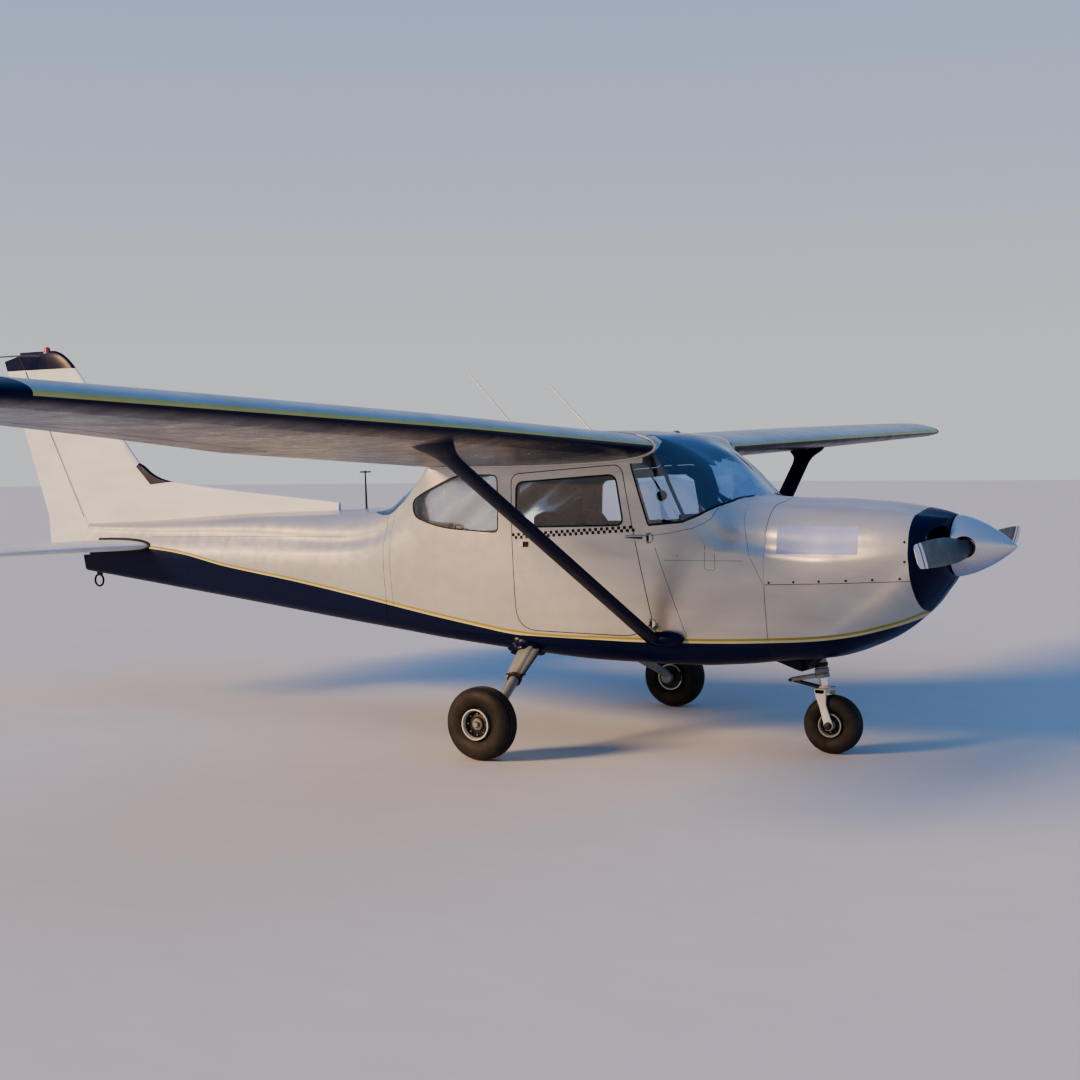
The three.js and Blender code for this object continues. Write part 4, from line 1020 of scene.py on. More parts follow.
# cowls and nose bowl
cowl = {"front": 788, "back": -27.7, "thick": 8, "split": [(0, 1030), (788, 1072)], "gap": 1.6}
cowlSolid = bodyLoft(cowlRows, "cowlSolid", 0, 0, 30)
cowlInside = bodyLoft(cowlRows, "cowlInside", -cowl["thick"], 20, 30)
cowlUnder = bodyLoft([[row[0] - 8, *row[1:]] for row in cowlRows], "cowlUnder", -cowl["thick"], 0, 30)
cowlProud = bodyLoft(cowlRows, "cowlProud", 0.7, 0, 30)
kept |= {cowlSolid, cowlInside, cowlUnder, cowlProud}
cowlTree = treeOf(cowlSolid)


def cowlRegion(upper):
    (backX, backZ), (frontX, frontZ) = cowl["split"]
    gap = cowl["gap"] if upper else -cowl["gap"]
    edge = far if upper else -far
    return sidePrism([(backX - 50, backZ + gap), (frontX + 50, frontZ + gap), (frontX + 50, edge),
                      (backX - 50, edge)])


for name, upper, node in (("cowlTop", True, "cowl_upper"), ("cowlBelly", False, "cowl_lower")):
    cuts = [cowlInside] if upper else [cowlInside, box(-50, 270, -165, 165, 400, 700)]
    shell = carve(cowlSolid, [between(cowl["back"], cowl["front"] - 1.5), cowlRegion(upper)], cuts, name)
    settle(shell, "body", slot="silver_paint" if upper else "navy_paint", stands=[node])

propCentre = (1020, 0, 1258)
inlet = {"y": 226, "z": 1298, "wide": 108, "high": 80}


def inletRing(x, side, grow=0):
    return [(x, side * inlet["y"] + (inlet["wide"] + grow) * math.cos(math.tau * k / 48),
             inlet["z"] + (inlet["high"] + grow) * math.sin(math.tau * k / 48)) for k in range(48)]


inletTools = [loft("tool", [inletRing(810, side), inletRing(1110, side)]) for side in (-1, 1)]
shaftTool = lathe("tool", [(-300, 105), (100, 105)], propCentre, 0, 48)
bowl = carve(cowlSolid, [between(cowl["front"] + 1.5, 1200)], [cowlUnder, shaftTool, *inletTools], "noseBowl")
settle(bevelled(bowl, 50), "navy", slot="navy_paint", stands=["nose_bowl"])
lips = []
for side in (-1, 1):
    around = [touch(cowlTree, (1500, y, z), (-1, 0, 0)) for _, y, z in inletRing(0, side, 4)]
    path = [(x - 4, y, z) for (x, y, z), _ in around]
    lips.append((loftAround(f"inletLip{side}", path, 9), "navy"))
    # the duct walls inside each inlet take the black trim: painted shade inside the inlet
    duct = [inletRing(x, side, -shrink) for x, shrink in ((880, 1), (840, 6), (770, 22))]
    wall = [inletRing(x, side, -shrink - 3) for x, shrink in ((770, 22), (840, 6), (880, 1))]
    lips.append((loft(f"inletDuct{side}", duct + wall, closed=True), "black"))
place(gather("inletLips", lips), slot="navy_paint")
print("cowl and nose bowl are made")

# engine, exhaust and what shows under the nose
settle(copyOf(frame["nodes"]["engine"], "engineBlock"), "darkMetal", slot="engine_iron", stands=["engine"])
exhaust = {"path": [(230, -110, 758), (212, -110, 680), (165, -112, 600), (105, -114, 540)], "radius": 27}
exhaustPipe = sweep("exhaustPipe", curved(exhaust["path"]), exhaust["radius"], 24)
settle(exhaustPipe, "darkMetal", slot="engine_iron", stands=["exhaust"])
outlet = {"side": [(-125, 556), (-60, 538), (30, 506), (66, 497), (70, 503), (60, 560)], "halfWidth": 150}
outletRamp = prism("outletRamp", outlet["side"], 1, -outlet["halfWidth"], outlet["halfWidth"])
settle(outletRamp, "navy", slot="navy_paint")

# propeller and spinner
spinner = {"radius": 175, "back": 945, "tip": 1279, "hole": 62, "sides": 96, "tilt": math.radians(1)}


def tilted(piece):
    # as parked, the left blade stands one degree above level
    centre = at(*propCentre)
    cosine, sine = math.cos(spinner["tilt"]), math.sin(spinner["tilt"])
    for vertex in piece.data.vertices:
        y, z = vertex.co.y - centre.y, vertex.co.z - centre.z
        vertex.co.y = centre.y + y * cosine - z * sine
        vertex.co.z = centre.z + y * sine + z * cosine
    return piece


spinnerLength = spinner["tip"] - spinner["back"] - 8
profile = [(spinner["back"], 46), (spinner["back"], spinner["radius"] - 2),
           (spinner["back"] + 2, spinner["radius"]),
           (spinner["back"] + 8, spinner["radius"])]
for i in range(1, 41):
    t = i / 40
    profile.append((spinner["back"] + 8 + spinnerLength * t,
                    max(spinner["radius"] * (1 - t ** 1.55) ** 0.92, 0.4)))
shellOut = lathe("spinnerShell", [(x - propCentre[0], r) for x, r in profile], propCentre, 0,
                 spinner["sides"])
hollow = lathe("tool", [(x - propCentre[0], r - 8) for x, r in profile[4:30]], propCentre, 0, 48)
bladeHole = lathe("tool", [(-300, spinner["hole"]), (300, spinner["hole"])], propCentre, 1, 64)
spinnerShell = carve(shellOut, cuts=[hollow, bladeHole], name="spinnerCone")
plateBack, plateFront = (spinner["back"] + reach - propCentre[0] for reach in (-3, 3))
backPlate = turned("backPlate", [(plateBack, 60), (plateBack, 168), (plateFront, 168), (plateFront, 60)],
                   propCentre, 0, 72)
hubBarrel = lathe("hubBarrel", [(-60, 30), (-56, 52), (56, 52), (60, 30)], propCentre, 0, 40)
spinnerWhole = gather("spinnerCone",
                      [(spinnerShell, "polished"), (backPlate, "darkMetal"), (hubBarrel, "darkMetal")])
place(tilted(spinnerWhole), "prop_body", "silver_paint", ["spinner"])

bladeRows = [  # distance from the centre, chord, depth, pitch in degrees
    [60, 84, 84, 45], [110, 84, 82, 45], [150, 96, 64, 42], [215, 130, 36, 36], [420, 158, 22, 27],
    [700, 152, 15, 20], [880, 138, 10.5, 17], [930, 132, 9, 16], [960, 118, 7, 15.4], [972, 84, 5, 15],
]


def bladeSection(chord, depth, roundness, steps=20):
    section = []
    for k in range(2 * steps):
        angle = math.tau * k / (2 * steps)
        across, through = math.cos(angle), math.sin(angle)
        shape = 1 if through > 0 else 1 - 0.75 * (1 - roundness)
        lead = 1 - 0.18 * (1 - roundness) * across
        section.append((chord / 2 * across, depth / 2 * through * shape * lead))
    return section


def makeBlade(name):
    rowAt, xs = smoothRows(bladeRows)
    rings = []
    stations = [60 + (xs[-1] - 60) * k / 44 for k in range(45)] + [969]
    for reach in sorted(stations):
        _, chord, depth, pitch = rowAt(reach)
        roundness = min(max((215 - reach) / 120, 0), 1)
        turn = math.radians(pitch)
        rings.append([(propCentre[0] + a * math.sin(turn) + b * math.cos(turn), reach,
                       propCentre[2] + a * math.cos(turn) - b * math.sin(turn))
                      for a, b in bladeSection(chord, depth, roundness)])
    return loft(name, rings)


bladeOne = makeBlade("bladeOne")
bladeTwo = copyOf(bladeOne, "bladeTwo")
for vertex in bladeTwo.data.vertices:
    vertex.co.y = -vertex.co.y
    vertex.co.z = 2 * propCentre[2] / 1000 - vertex.co.z
shaft = lathe("shaft", [(736 - propCentre[0], 45), (20, 45)], propCentre, 0, 40)
collars = [turned(f"collar{side}", [(side * 62, 44), (side * 62, 50), (side * 96, 47), (side * 96, 40)],
                  propCentre, 1, 40)
           for side in (-1, 1)]
blades = gather("propBlades", [(bladeOne, "blade"), (bladeTwo, "blade"), (shaft, "bare"),
                               (collars[0], "bare"), (collars[1], "bare")])
place(tilted(blades), "prop_body", "blade_paint", ["propeller"])
print("propeller and spinner are made")

# wing
wing = {
    "rows": [[557.3, -700, 1838, 1630, 4.0, 0.113], [2540, -700, 1913, 1630, 3.6, 0.106],
             [5220, -841, 2003, 1118, 1.0, 0.115]],
    "tipRows": [[5220.3, -841, 2003, 1118, 1.0, 0.115], [5340, -862, 2005, 1085, 1.0, 0.102],
                [5420, -915, 1998, 985, 1.0, 0.082], [5460, -1010, 1987, 780, 1.0, 0.05]],
    "flapSpan": (630, 2560), "aileronSpan": (2592, 5150), "flapShare": 0.775, "aileronShare": 0.8,
    "flapRise": 12,
    "gap": 6,
}


def foilLine(x, camber=0.02, where=0.4):
    if x < where:
        return camber / where ** 2 * (2 * where * x - x * x)
    return camber / (1 - where) ** 2 * (1 - 2 * where + 2 * where * x - x * x)


def airfoil(thickness, steps=36):
    upper, lower = [], []
    for i in range(steps + 1):
        x = (1 - math.cos(math.pi * i / steps)) / 2
        half = halfThick(thickness, x) + 0.0008
        upper.append((x, foilLine(x) + half))
        if i:
            lower.append((x, foilLine(x) - half))
    return upper[::-1] + lower


def onChord(section, point):
    y, leadX, leadZ, chord, angle = section[:5]
    turn = math.radians(angle)
    along, rise = point
    return (leadX - chord * (along * math.cos(turn) + rise * math.sin(turn)), y,
            leadZ - chord * (along * math.sin(turn) - rise * math.cos(turn)))


def wingRing(section):
    return [onChord(section, point) for point in airfoil(section[5])]


def sectionAt(rows, y):
    i = 1 if y <= rows[1][0] or len(rows) == 2 else 2
    t = (y - rows[i - 1][0]) / (rows[i][0] - rows[i - 1][0])
    return [a + (b - a) * t for a, b in zip(rows[i - 1], rows[i])]


def wingDepth(y, share):
    section = sectionAt(wing["rows"], y)
    half = halfThick(section[5], share) + 0.0008
    upper = onChord(section, (share, foilLine(share) + half))
    lower = onChord(section, (share, foilLine(share) - half))
    return upper, lower


def flapAxisAt(y):
    upper, lower = wingDepth(y, wing["flapShare"])
    return [y, (upper[0] + lower[0]) / 2, lower[2] + wing["flapRise"], upper[2] - lower[2] - wing["flapRise"]]


def aileronAxisAt(y):
    upper, lower = wingDepth(y, wing["aileronShare"])
    return [y, (upper[0] + lower[0]) / 2, (upper[2] + lower[2]) / 2, (upper[2] - lower[2]) / 2]


def behindHinge(stations, steps=16):
    (y0, x0, z0, _), (y1, x1, z1, _) = stations
    slopeX, slopeZ = (x1 - x0) / (y1 - y0), (z1 - z0) / (y1 - y0)
    rings = []
    for y, x, z, radius in stations:
        offsets = [(-900, -400), (-900, 400), (0, 400)]
        for step in range(steps + 1):
            angle = math.pi / 2 - math.pi * step / steps
            offsets.append((radius * math.cos(angle), radius * math.sin(angle)))
        offsets.append((0, -400))
        rings.append([(x + dx, y - slopeX * dx - slopeZ * dz, z + dz) for dx, dz in offsets])
    return loft("tool", rings)


def surfaceRegion(axisAt, span, gap):
    start, end = axisAt(span[0]), axisAt(span[1])
    stations = []
    for y in (span[0] - gap, span[1] + gap):
        t = (y - span[0]) / (span[1] - span[0])
        spot = [a + (b - a) * t for a, b in zip(start, end)]
        stations.append([*spot[:3], spot[3] + gap])
    return behindHinge(stations)


def markShare(piece, rows):
    # stores how far back and how high each point is from the leading edge, for the stripes there
    for label in ("share", "fall"):
        piece.data.attributes.new(label, "FLOAT", "POINT")
    layers = [piece.data.attributes[label].data for label in ("share", "fall")]
    for shareMark, fallMark, vertex in zip(*layers, piece.data.vertices):
        x, y, z = vertex.co.x * 1000 - originX, abs(vertex.co.y) * 1000, vertex.co.z * 1000
        section = sectionAt(rows, y)
        turn = math.radians(section[4])
        dx, dz = section[1] - x, z - section[2]
        along = (dx * math.cos(turn) - dz * math.sin(turn)) / section[3]
        rise = (dx * math.sin(turn) + dz * math.cos(turn)) / section[3]
        share = min(max(along, 0), 1)
        shareMark.value = math.copysign(math.sqrt(share), rise - foilLine(share))
        fallMark.value = dz / 1000
    return piece


spanStations = [557.3, 1000, 1500, 2000, 2540, 3000, 3500, 4000, 4500, 5000, 5220]
wingSolid = loft("wingSolid", [wingRing(sectionAt(wing["rows"], y)) for y in spanStations])
kept |= {wingSolid}
wingTree = treeOf(wingSolid)
wingLeft = carve(wingSolid, cuts=[surfaceRegion(flapAxisAt, wing["flapSpan"], wing["gap"]),
                                  surfaceRegion(aileronAxisAt, wing["aileronSpan"], wing["gap"] + 3)],
                 name="wingPanel_left")
flapLeft = carve(wingSolid, [surfaceRegion(flapAxisAt, wing["flapSpan"], 0)], name="flapPanel_left")
aileronLeft = carve(wingSolid, [surfaceRegion(aileronAxisAt, wing["aileronSpan"], 0)],
                    name="aileronPanel_left")
tipRowAt, tipYs = smoothRows(wing["tipRows"])
tipStations = [tipYs[0] + (tipYs[-1] - tipYs[0]) * (1 - (1 - k / 14) ** 1.6) for k in range(15)]
tipLeft = loft("wingTipCap_left", [wingRing(tipRowAt(y)) for y in tipStations])
for left, node, finish, ride in (
    (wingLeft, "wing", "wing", "airframe"), (flapLeft, "flap", "wing", "flap_{}_body"),
    (aileronLeft, "aileron", "wing", "aileron_{}_body"), (tipLeft, "wing_tip", "navy", "airframe"),
):
    if finish == "wing":
        markShare(left, wing["rows"])
    slot = "tip_plastic" if finish == "navy" else "silver_paint"
    for piece, side in pairOf(left, left.name.replace("left", "right")):
        settle(piece, finish, ride.format(side), slot, [f"{node}_{side}"], sharp=40)
print("wing is made")

# lift struts
strut = {
    "foot": (-728, 480, 656), "top": (-965, 2508, 1850),
    "rows": [[0, 124, 46, 0], [0.90, 124, 46, 0], [0.94, 150, 50, 1], [0.99, 265, 80, 5], [1.03, 290, 90, 5]],
    "cuff": (126, 52, 48), "cuffPlace": (-660, 505, 688),
}
foot, top = Vector(strut["foot"]), Vector(strut["top"])
along = top - foot
chordWay = (Vector((1, 0, 0)) - along * (along.x / along.length_squared)).normalized()
depthWay = along.cross(chordWay).normalized()
strutRowAt, _ = smoothRows(strut["rows"])
rings = []
for share in [0, 0.2, 0.4, 0.6, 0.8, 0.9, 0.92, 0.94, 0.955, 0.97, 0.985, 1.0, 1.015, 1.03]:
    _, chord, depth, aft = strutRowAt(share)
    ring = []
    for k in range(40):
        angle = math.tau * k / 40
        across = math.cos(angle)
        taper = 1 - 0.22 * (1 - across) / 2
        ring.append(tuple(foot + along * share + chordWay * (chord / 2 * across - aft)
                          + depthWay * (depth / 2 * math.sin(angle) * taper)))
    rings.append(ring)
strutBar = loft("strutBar", rings)
domeRings = []
for k in range(1, 24):
    angle = math.pi * k / 24
    size = math.sin(angle)
    domeRings.append([(strut["cuffPlace"][0] - strut["cuff"][0] * math.cos(angle),
                       strut["cuffPlace"][1] + strut["cuff"][1] * size * math.cos(math.tau * j / 40),
                       strut["cuffPlace"][2] + strut["cuff"][2] * size * math.sin(math.tau * j / 40))
                       for j in range(40)])
cuffDome = loft("cuffDome", domeRings)
underWing = loft("underWing",
                 [[(x, y, z - seat) for x, y, z in wingRing(section)] for section in wing["rows"]])
barCut = carve(strutBar, cuts=[copyOf(bodyProud), underWing], name="strutBarCut")
cuffCut = carve(cuffDome, cuts=[copyOf(bodyProud)], name="strutCuff")
strutLeft = gather("strutLeft", [(barCut, "navy"), (cuffCut, "navy")])
for piece, side in pairOf(strutLeft, "strutRight"):
    settle(piece, "navy", slot="navy_paint", stands=[f"strut_{side}"])
print("struts are made")


# fin, rudder and tailplane
def symmetric(thickness, steps=28):
    side = []
    for i in range(steps + 1):
        x = (1 - math.cos(math.pi * i / steps)) / 2
        side.append((x, halfThick(thickness, x) + 0.0012))
    return side[::-1] + [(x, -depth) for x, depth in side[1:]]


def finRing(z, inset=0):
    lead = finLeadX(z) - inset
    chord = lead - finTrailX(z) - inset / 2
    thickness = finShape["thickness"] * (1 - inset / 250)
    return [(lead - x * chord, y * chord, z) for x, y in symmetric(thickness)]


dorsalRows = [[-3498, 1473, 25, 12], [-5113, 1622, 42, 16], [-5240, 1648, 42, 18], [-5340, 1690, 42, 20],
              [-5420, 1745, 42, 20], [-5470, 1768, 42, 20]]
dorsalAt, _ = smoothRows(dorsalRows)
dorsalRings = []
for x in [-5470, -5450, -5420, -5390, -5360, -5330, -5290, -5240, -5180, -5113, -4800, -4400, -4000, -3700,
          -3498]:
    _, high, halfLow, halfHigh = dorsalAt(x)
    ring = [(x, -halfLow, 1300), (x, -halfHigh, high - 16)]
    ring += [(x, -halfHigh * math.cos(math.pi * k / 8), high - 16 + 16 * math.sin(math.pi * k / 8))
             for k in range(1, 8)]
    ring += [(x, halfHigh, high - 16), (x, halfLow, 1300)]
    dorsalRings.append(ring)
dorsal = carve(loft("dorsal", dorsalRings), cuts=[copyOf(bodyProud), rudderRegion(6, 900, 2800)],
               name="dorsalCut")
finLevels = [1270, finShape["kneeZ"], 1700, 2100, finShape["top"]]
finBlade = carve(loft("finBlade", [finRing(z) for z in finLevels]),
                 cuts=[copyOf(bodyProud), rudderRegion(6, 900, 2800)], name="finBladeCut")
fin = gather("finPanel", [(finBlade, "fin"), (dorsal, "fin")])
# aft-facing faces in the gap before the rudder take the dark seam finish: painted shade in the gap
fin.data.materials.append(finishes["seam"])
for polygon in fin.data.polygons:
    x, z = polygon.center.x * 1000 - originX, polygon.center.z * 1000
    if polygon.normal.x < -0.25 and x < rudderHingeX(z) + 90:
        polygon.material_index = len(fin.data.materials) - 1
place(fin, slot="white_paint", stands=["fin"])
capRows = [(2532.3, 0), (2570, 3), (2610, 14), (2640, 32), (2655, 46), (2668, 66), (2676, 86), (2680, 104)]
cap = carve(loft("cap", [finRing(z, inset) for z, inset in capRows]),
            cuts=[rudderRegion(6, 900, 2800)], name="capCut")
beaconBase = lathe("beaconBase", [(-12, 33), (4, 33), (6, 28)], (-6482, 0, 2672), 2, 32)
beaconLens = lathe("beaconLens", [(4, 26), (16, 26), (28, 23), (36, 17), (42, 8), (43.5, 1)],
                   (-6482, 0, 2672), 2, 32)
capPiece = gather("finCapTip", [(cap, "navy"), (beaconBase, "bare"), (beaconLens, "beacon")])
place(capPiece, slot="tip_plastic", stands=["fin_cap"])

rudderWhole = loft("rudderWhole",
                   [finRing(z) for z in (rudderHinge["low"], finShape["kneeZ"], 1700, 2100, 2500, 2655)])
socket = sweep("tool", [(rudderHingeX(1000), 0, 1000), (rudderHingeX(1070), 0, 1070)], 14, 20)
overTop = sidePrism([(-6790, 2655), (-7100, 2592), (-7100, far), (-6790, far)])
rudder = carve(rudderWhole, [rudderRegion(0, rudderHinge["low"] - 10, 2665)], [socket, overTop],
               "rudderPanel")
settle(rudder, "fin", "rudder_body", "white_paint", ["rudder"], sharp=40)

tail = {"rows": [[0, -5190, 1115, 0.07], [1660, -5365, 850, 0.065], [1725, -5440, 700, 0.05]],
        "hingeX": -5860, "hingeZ": 1130, "tube": 14, "span": (158, 1725.3)}


def tailRing(row):
    y, lead, chord, thickness = row
    return [(lead - x * chord, y, tail["hingeZ"] + z * chord) for x, z in symmetric(thickness)]


tailStations = (0, 500, 1000, 1660, 1685, 1705, 1718, 1725)
tailSolid = loft("tailSolid", [tailRing(sectionAt(tail["rows"], y)) for y in tailStations])
kept |= {tailSolid}


def elevatorRegion(gap):
    stations = []
    for y, reach in ((tail["span"][0], -gap), (tail["span"][1], gap)):
        _, lead, chord, thickness = sectionAt(tail["rows"], min(y, 1700))
        share = (lead - tail["hingeX"]) / chord
        stations.append([y + reach, tail["hingeX"], tail["hingeZ"],
                         chord * halfThick(thickness, share) + 1 + gap])
    return behindHinge(stations)


tailLeft = carve(tailSolid, cuts=[copyOf(bodyProud), elevatorRegion(6),
                                  box(-7000, tail["hingeX"] + 20, -far, tail["span"][0] + 1, -far, far)],
                 name="tailplanePanel_left")
for piece, side in pairOf(tailLeft, "tailplanePanel_right"):
    settle(piece, "fin", slot="white_paint", stands=[f"tailplane_{side}"], sharp=40)
rootCut = prism("tool", [(-5700, 100), (-5700, 158), (-5900, 158), (-6500, 262), (-6500, 100)], 2, 0, far)
elevatorLeft = carve(tailSolid, [elevatorRegion(0)], [rootCut], "elevatorLeft")
elevatorRight = mirrored(elevatorLeft, "elevatorRight")
elevatorTube = sweep("elevatorTube",
                     [(tail["hingeX"], -170, tail["hingeZ"]), (tail["hingeX"], 170, tail["hingeZ"])],
                     tail["tube"], 24)
elevator = gather("elevatorPanel", [(elevatorLeft, "fin"), (elevatorRight, "fin"), (elevatorTube, "bare")])
place(elevator, "elevator_body", "white_paint", ["elevator"])
print("tail is made")

# wheels
wheel = {"x": -1470, "y": 1270}
mainTyre = {"radius": 218, "width": 156, "rim": 90, "bore": 20, "sides": 28}
noseTyre = {"radius": 176, "width": 126, "rim": 70, "bore": 13, "sides": 28}


def wheelHeight(tyre):
    return tyre["radius"] * math.cos(math.pi / tyre["sides"])


def makeTyre(name, tyre, centre):
    radius, half, rimRadius = wheelHeight(tyre), tyre["width"] / 2, tyre["rim"]
    deep = radius - rimRadius
    side = [(0.56, 0.01), (0.66, 0.04), (0.80, 0.13), (0.93, 0.30), (0.985, 0.44), (1.0, 0.56), (0.975, 0.68),
            (0.90, 0.80), (0.80, 0.885), (0.70, 0.935), (0.60, 0.962), (0.52, 0.975)]
    grooves = [0.44, 0.435, 0.335, 0.33, 0.055, 0.05, 0.0]
    rises = [0.985, 0.938, 0.943, 0.990, 0.999, 0.952, 0.952]
    loop = [(across * half, rimRadius + rise * deep) for across, rise in side]
    loop += [(across * half, rimRadius + rise * deep) for across, rise in zip(grooves, rises)]
    loop += [(-across, reach) for across, reach in loop[-2::-1]]
    rings = [(across, min(reach, radius)) for across, reach in loop]
    return turned(name, rings, centre, 1, 96)


def makeRim(name, tyre, centre, finish):
    half, rimRadius, bore = tyre["width"] * 0.4, tyre["rim"], tyre["bore"]
    flange = [(half * 0.5, rimRadius - 6), (half * 1.05, rimRadius - 4), (half * 1.22, rimRadius + 3),
              (half * 1.28, rimRadius + 1), (half * 1.28, rimRadius - 5), (half * 1.1, rimRadius - 11),
              (half * 0.62, rimRadius - 15)]
    loop = flange + [(-across, reach) for across, reach in flange[::-1]]
    parts = [(turned(name + "Rim", loop, centre, 1, 72), finish)]
    disc = [(half * 0.50, bore + 4), (half * 0.70, bore + 24), (half * 0.62, rimRadius - 24),
            (half * 1.02, rimRadius - 9)]
    disc += [(-across, reach) for across, reach in disc[::-1]]
    parts.append((turned(name + "Disc", disc, centre, 1, 60), "darkMetal"))
    for way in (-1, 1):
        bearing = [(way * half * 0.2, bore - 0.2), (way * half * 0.2, bore + 18),
                   (way * half * 0.86, bore + 16),
                   (way * half * 0.94, bore + 9), (way * half * 0.94, bore - 0.2)]
        parts.append((turned(f"{name}Bearing{way}", bearing, centre, 1, 40), "bare"))
    spots = []
    for way in (-1, 1):
        for k in range(8):
            angle = math.tau * k / 8
            spots.append(((centre[0] + (rimRadius - 27) * math.cos(angle), centre[1] + way * half * 0.66,
                           centre[2] + (rimRadius - 27) * math.sin(angle)), (0, way, 0), (1, 0, 0)))
    parts.append((setOut(name + "Bolts", spots, "round", 5, 4, 12, "bare"), "bare"))
    return gather(name, parts)


mainHeight, noseHeight = wheelHeight(mainTyre), wheelHeight(noseTyre)
for side, sign in (("left", 1), ("right", -1)):
    centre = (wheel["x"], sign * wheel["y"], mainHeight)
    settle(makeTyre(f"mainTyre_{side}", mainTyre, centre), "tyre", f"main_wheel_{side}", "tyre_rubber",
           [f"main_tyre_{side}"], sharp=50)
    place(makeRim(f"mainHub_{side}", mainTyre, centre, "rim"), f"main_wheel_{side}", "bare_metal",
          [f"main_hub_{side}"])
noseCentre = (205, 0, noseHeight)
settle(makeTyre("noseTyre", noseTyre, noseCentre), "tyre", "nose_wheel", "tyre_rubber", ["nose_tyre"],
       sharp=50)
place(makeRim("noseHub", noseTyre, noseCentre, "gearPaint"), "nose_wheel", "bare_metal", ["nose_hub"])
print("wheels are made")

# main gear legs
legTop, legFoot = Vector((-1618, 430, 590)), Vector((-1470, 1150, 240))


def onLeg(share):
    return tuple(legTop + (legFoot - legTop) * share)


legTube = sweep("legTube", [onLeg(0), onLeg(0.45), onLeg(1)], [38, 32, 27], 28)
legTube = carve(legTube, cuts=[copyOf(bodyProud)], name="legTubeCut")
fairRings = []
legWay = (legFoot - legTop).normalized()
legSide = (Vector((1, 0, 0)) - legWay * legWay.x).normalized()
legUp = legSide.cross(legWay).normalized()
for share, chord, depth in ((0.08, 150, 52), (0.16, 146, 54), (0.30, 128, 52), (0.44, 112, 48),
                            (0.47, 108, 46), (0.475, 92, 38)):
    middle = Vector(onLeg(share)) - legSide * 12
    fairRings.append([tuple(middle
                            + legSide * (chord / 2 * math.copysign(abs(math.cos(a)) ** 0.75, math.cos(a)))
                            + legUp * (depth / 2 * math.copysign(abs(math.sin(a)) ** 0.85, math.sin(a))))
                      for a in (math.tau * k / 36 for k in range(36))])
legFair = loft("legFair", fairRings)
edgePath = [tuple(Vector(onLeg(share)) + legSide * (reach - 13)) for share, reach in ((0.08, 75), (0.47, 54))]
fairEdge = sweep("fairEdge", edgePath, 5, 10)
clamp = sweep("legClamp", [onLeg(0.475), onLeg(0.51)], 44, 28)
stepPad = box(-1592, -1494, 735, 805, 440, 452, "stepPad")
stepArm = sweep("stepArm", [onLeg(0.49), (-1545, 770, 448)], 12, 16)
knuckle = sweep("legKnuckle", [(-1470, 1128, mainHeight), (-1470, 1174, mainHeight)], 38, 32)
axleBar = sweep("legAxle", [(-1470, 1140, mainHeight), (-1470, 1334, mainHeight)], 19.5, 28)
axleNut = lathe("axleNut", [(0, 19), (4, 21), (16, 21), (20, 16)], (-1470, 1326, mainHeight), 1, 6)
brake = turned("brakeDisc", [(-3, 40), (3, 40), (3, 78), (-3, 78)], (-1470, 1196, mainHeight), 1, 56)
caliper = box(-1440, -1380, 1176, 1216, mainHeight - 20, mainHeight + 42, "caliper")
brakeLine = sweep("brakeLine", curved([tuple(Vector(onLeg(0.13)) + Vector((-56, 0, -20))),
                                       tuple(Vector(onLeg(0.5)) + Vector((-46, 0, -14))),
                                       tuple(Vector(onLeg(0.85)) + Vector((-36, 0, -8))),
                                       (-1440, 1170, mainHeight + 30)]),
                  4, 8)
bootRings = []
for i in range(15):
    share = -0.01 + 0.115 * i / 14
    chord = 300 - 130 * (i / 14) ** 0.9
    depth = 165 - 95 * (i / 14) ** 0.9
    middle = Vector(onLeg(share)) - legSide * 34
    ring = []
    for k in range(64):
        angle = math.tau * k / 64
        fold = (1 + 0.055 * math.sin(5 * angle + i * 0.9) + 0.04 * math.sin(9 * angle - i * 1.3)
                + 0.05 * math.sin(i * 1.9 + angle))
        ring.append(tuple(middle + legSide * (chord / 2 * math.cos(angle) * fold)
                          + legUp * (depth / 2 * math.sin(angle) * fold)))
    bootRings.append(ring)
boot = carve(loft("legBoot", bootRings), cuts=[copyOf(bodyProud)], name="legBootCut")
legLeft = gather("gearLegPiece_left", [
    (legTube, "gearPaint"), (legFair, "gearPaint"), (clamp, "darkMetal"), (stepPad, "black"),
    (stepArm, "darkMetal"), (knuckle, "gearPaint"), (axleBar, "bare"), (axleNut, "bare"),
    (brake, "darkMetal"), (caliper, "darkMetal"), (brakeLine, "black"), (boot, "navy"), (fairEdge, "black"),
])
for piece, side in pairOf(legLeft, "gearLegPiece_right"):
    place(piece, slot="gear_steel", stands=[f"gear_leg_{side}"])
print("main gear is made")


# nose gear
def strutAxis(z, ahead=0, side=0):
    return (186 - 0.17 * (z - 175) + ahead, side, z)


noseStrutParts = [
    (sweep("oleoCylinder", [strutAxis(500), strutAxis(700)], 36, 36), "bare"),
    (sweep("oleoCollar", [strutAxis(476), strutAxis(481), strutAxis(503), strutAxis(508)], [38, 43, 43, 38],
           36), "gearPaint"),
    (sweep("oleoBand", [strutAxis(516), strutAxis(520), strutAxis(536), strutAxis(540)], [38, 42, 42, 38],
           36), "darkMetal"),
    (box(-26, 96, -45, 45, 575, 615, "lowerBracket"), "bare"),
    (box(-26, 80, -45, 45, 660, 695, "upperBracket"), "bare"),
]
place(gather("noseStrutPiece", noseStrutParts), slot="gear_steel", stands=["nose_strut"])
fork = {"crownZ": 362, "armY": noseTyre["width"] / 2 + 9}
armTop = strutAxis(380)[0]
armOutline = [(armTop - 34, 392), (armTop + 36, 392), (armTop + 40, 372), (190, 300), (214, 230),
              (233, noseHeight + 8), (233, noseHeight - 10), (220, noseHeight - 25), (205, noseHeight - 30),
              (190, noseHeight - 25), (177, noseHeight - 10), (175, noseHeight + 14), (150, 280),
              (armTop - 32, 360)]
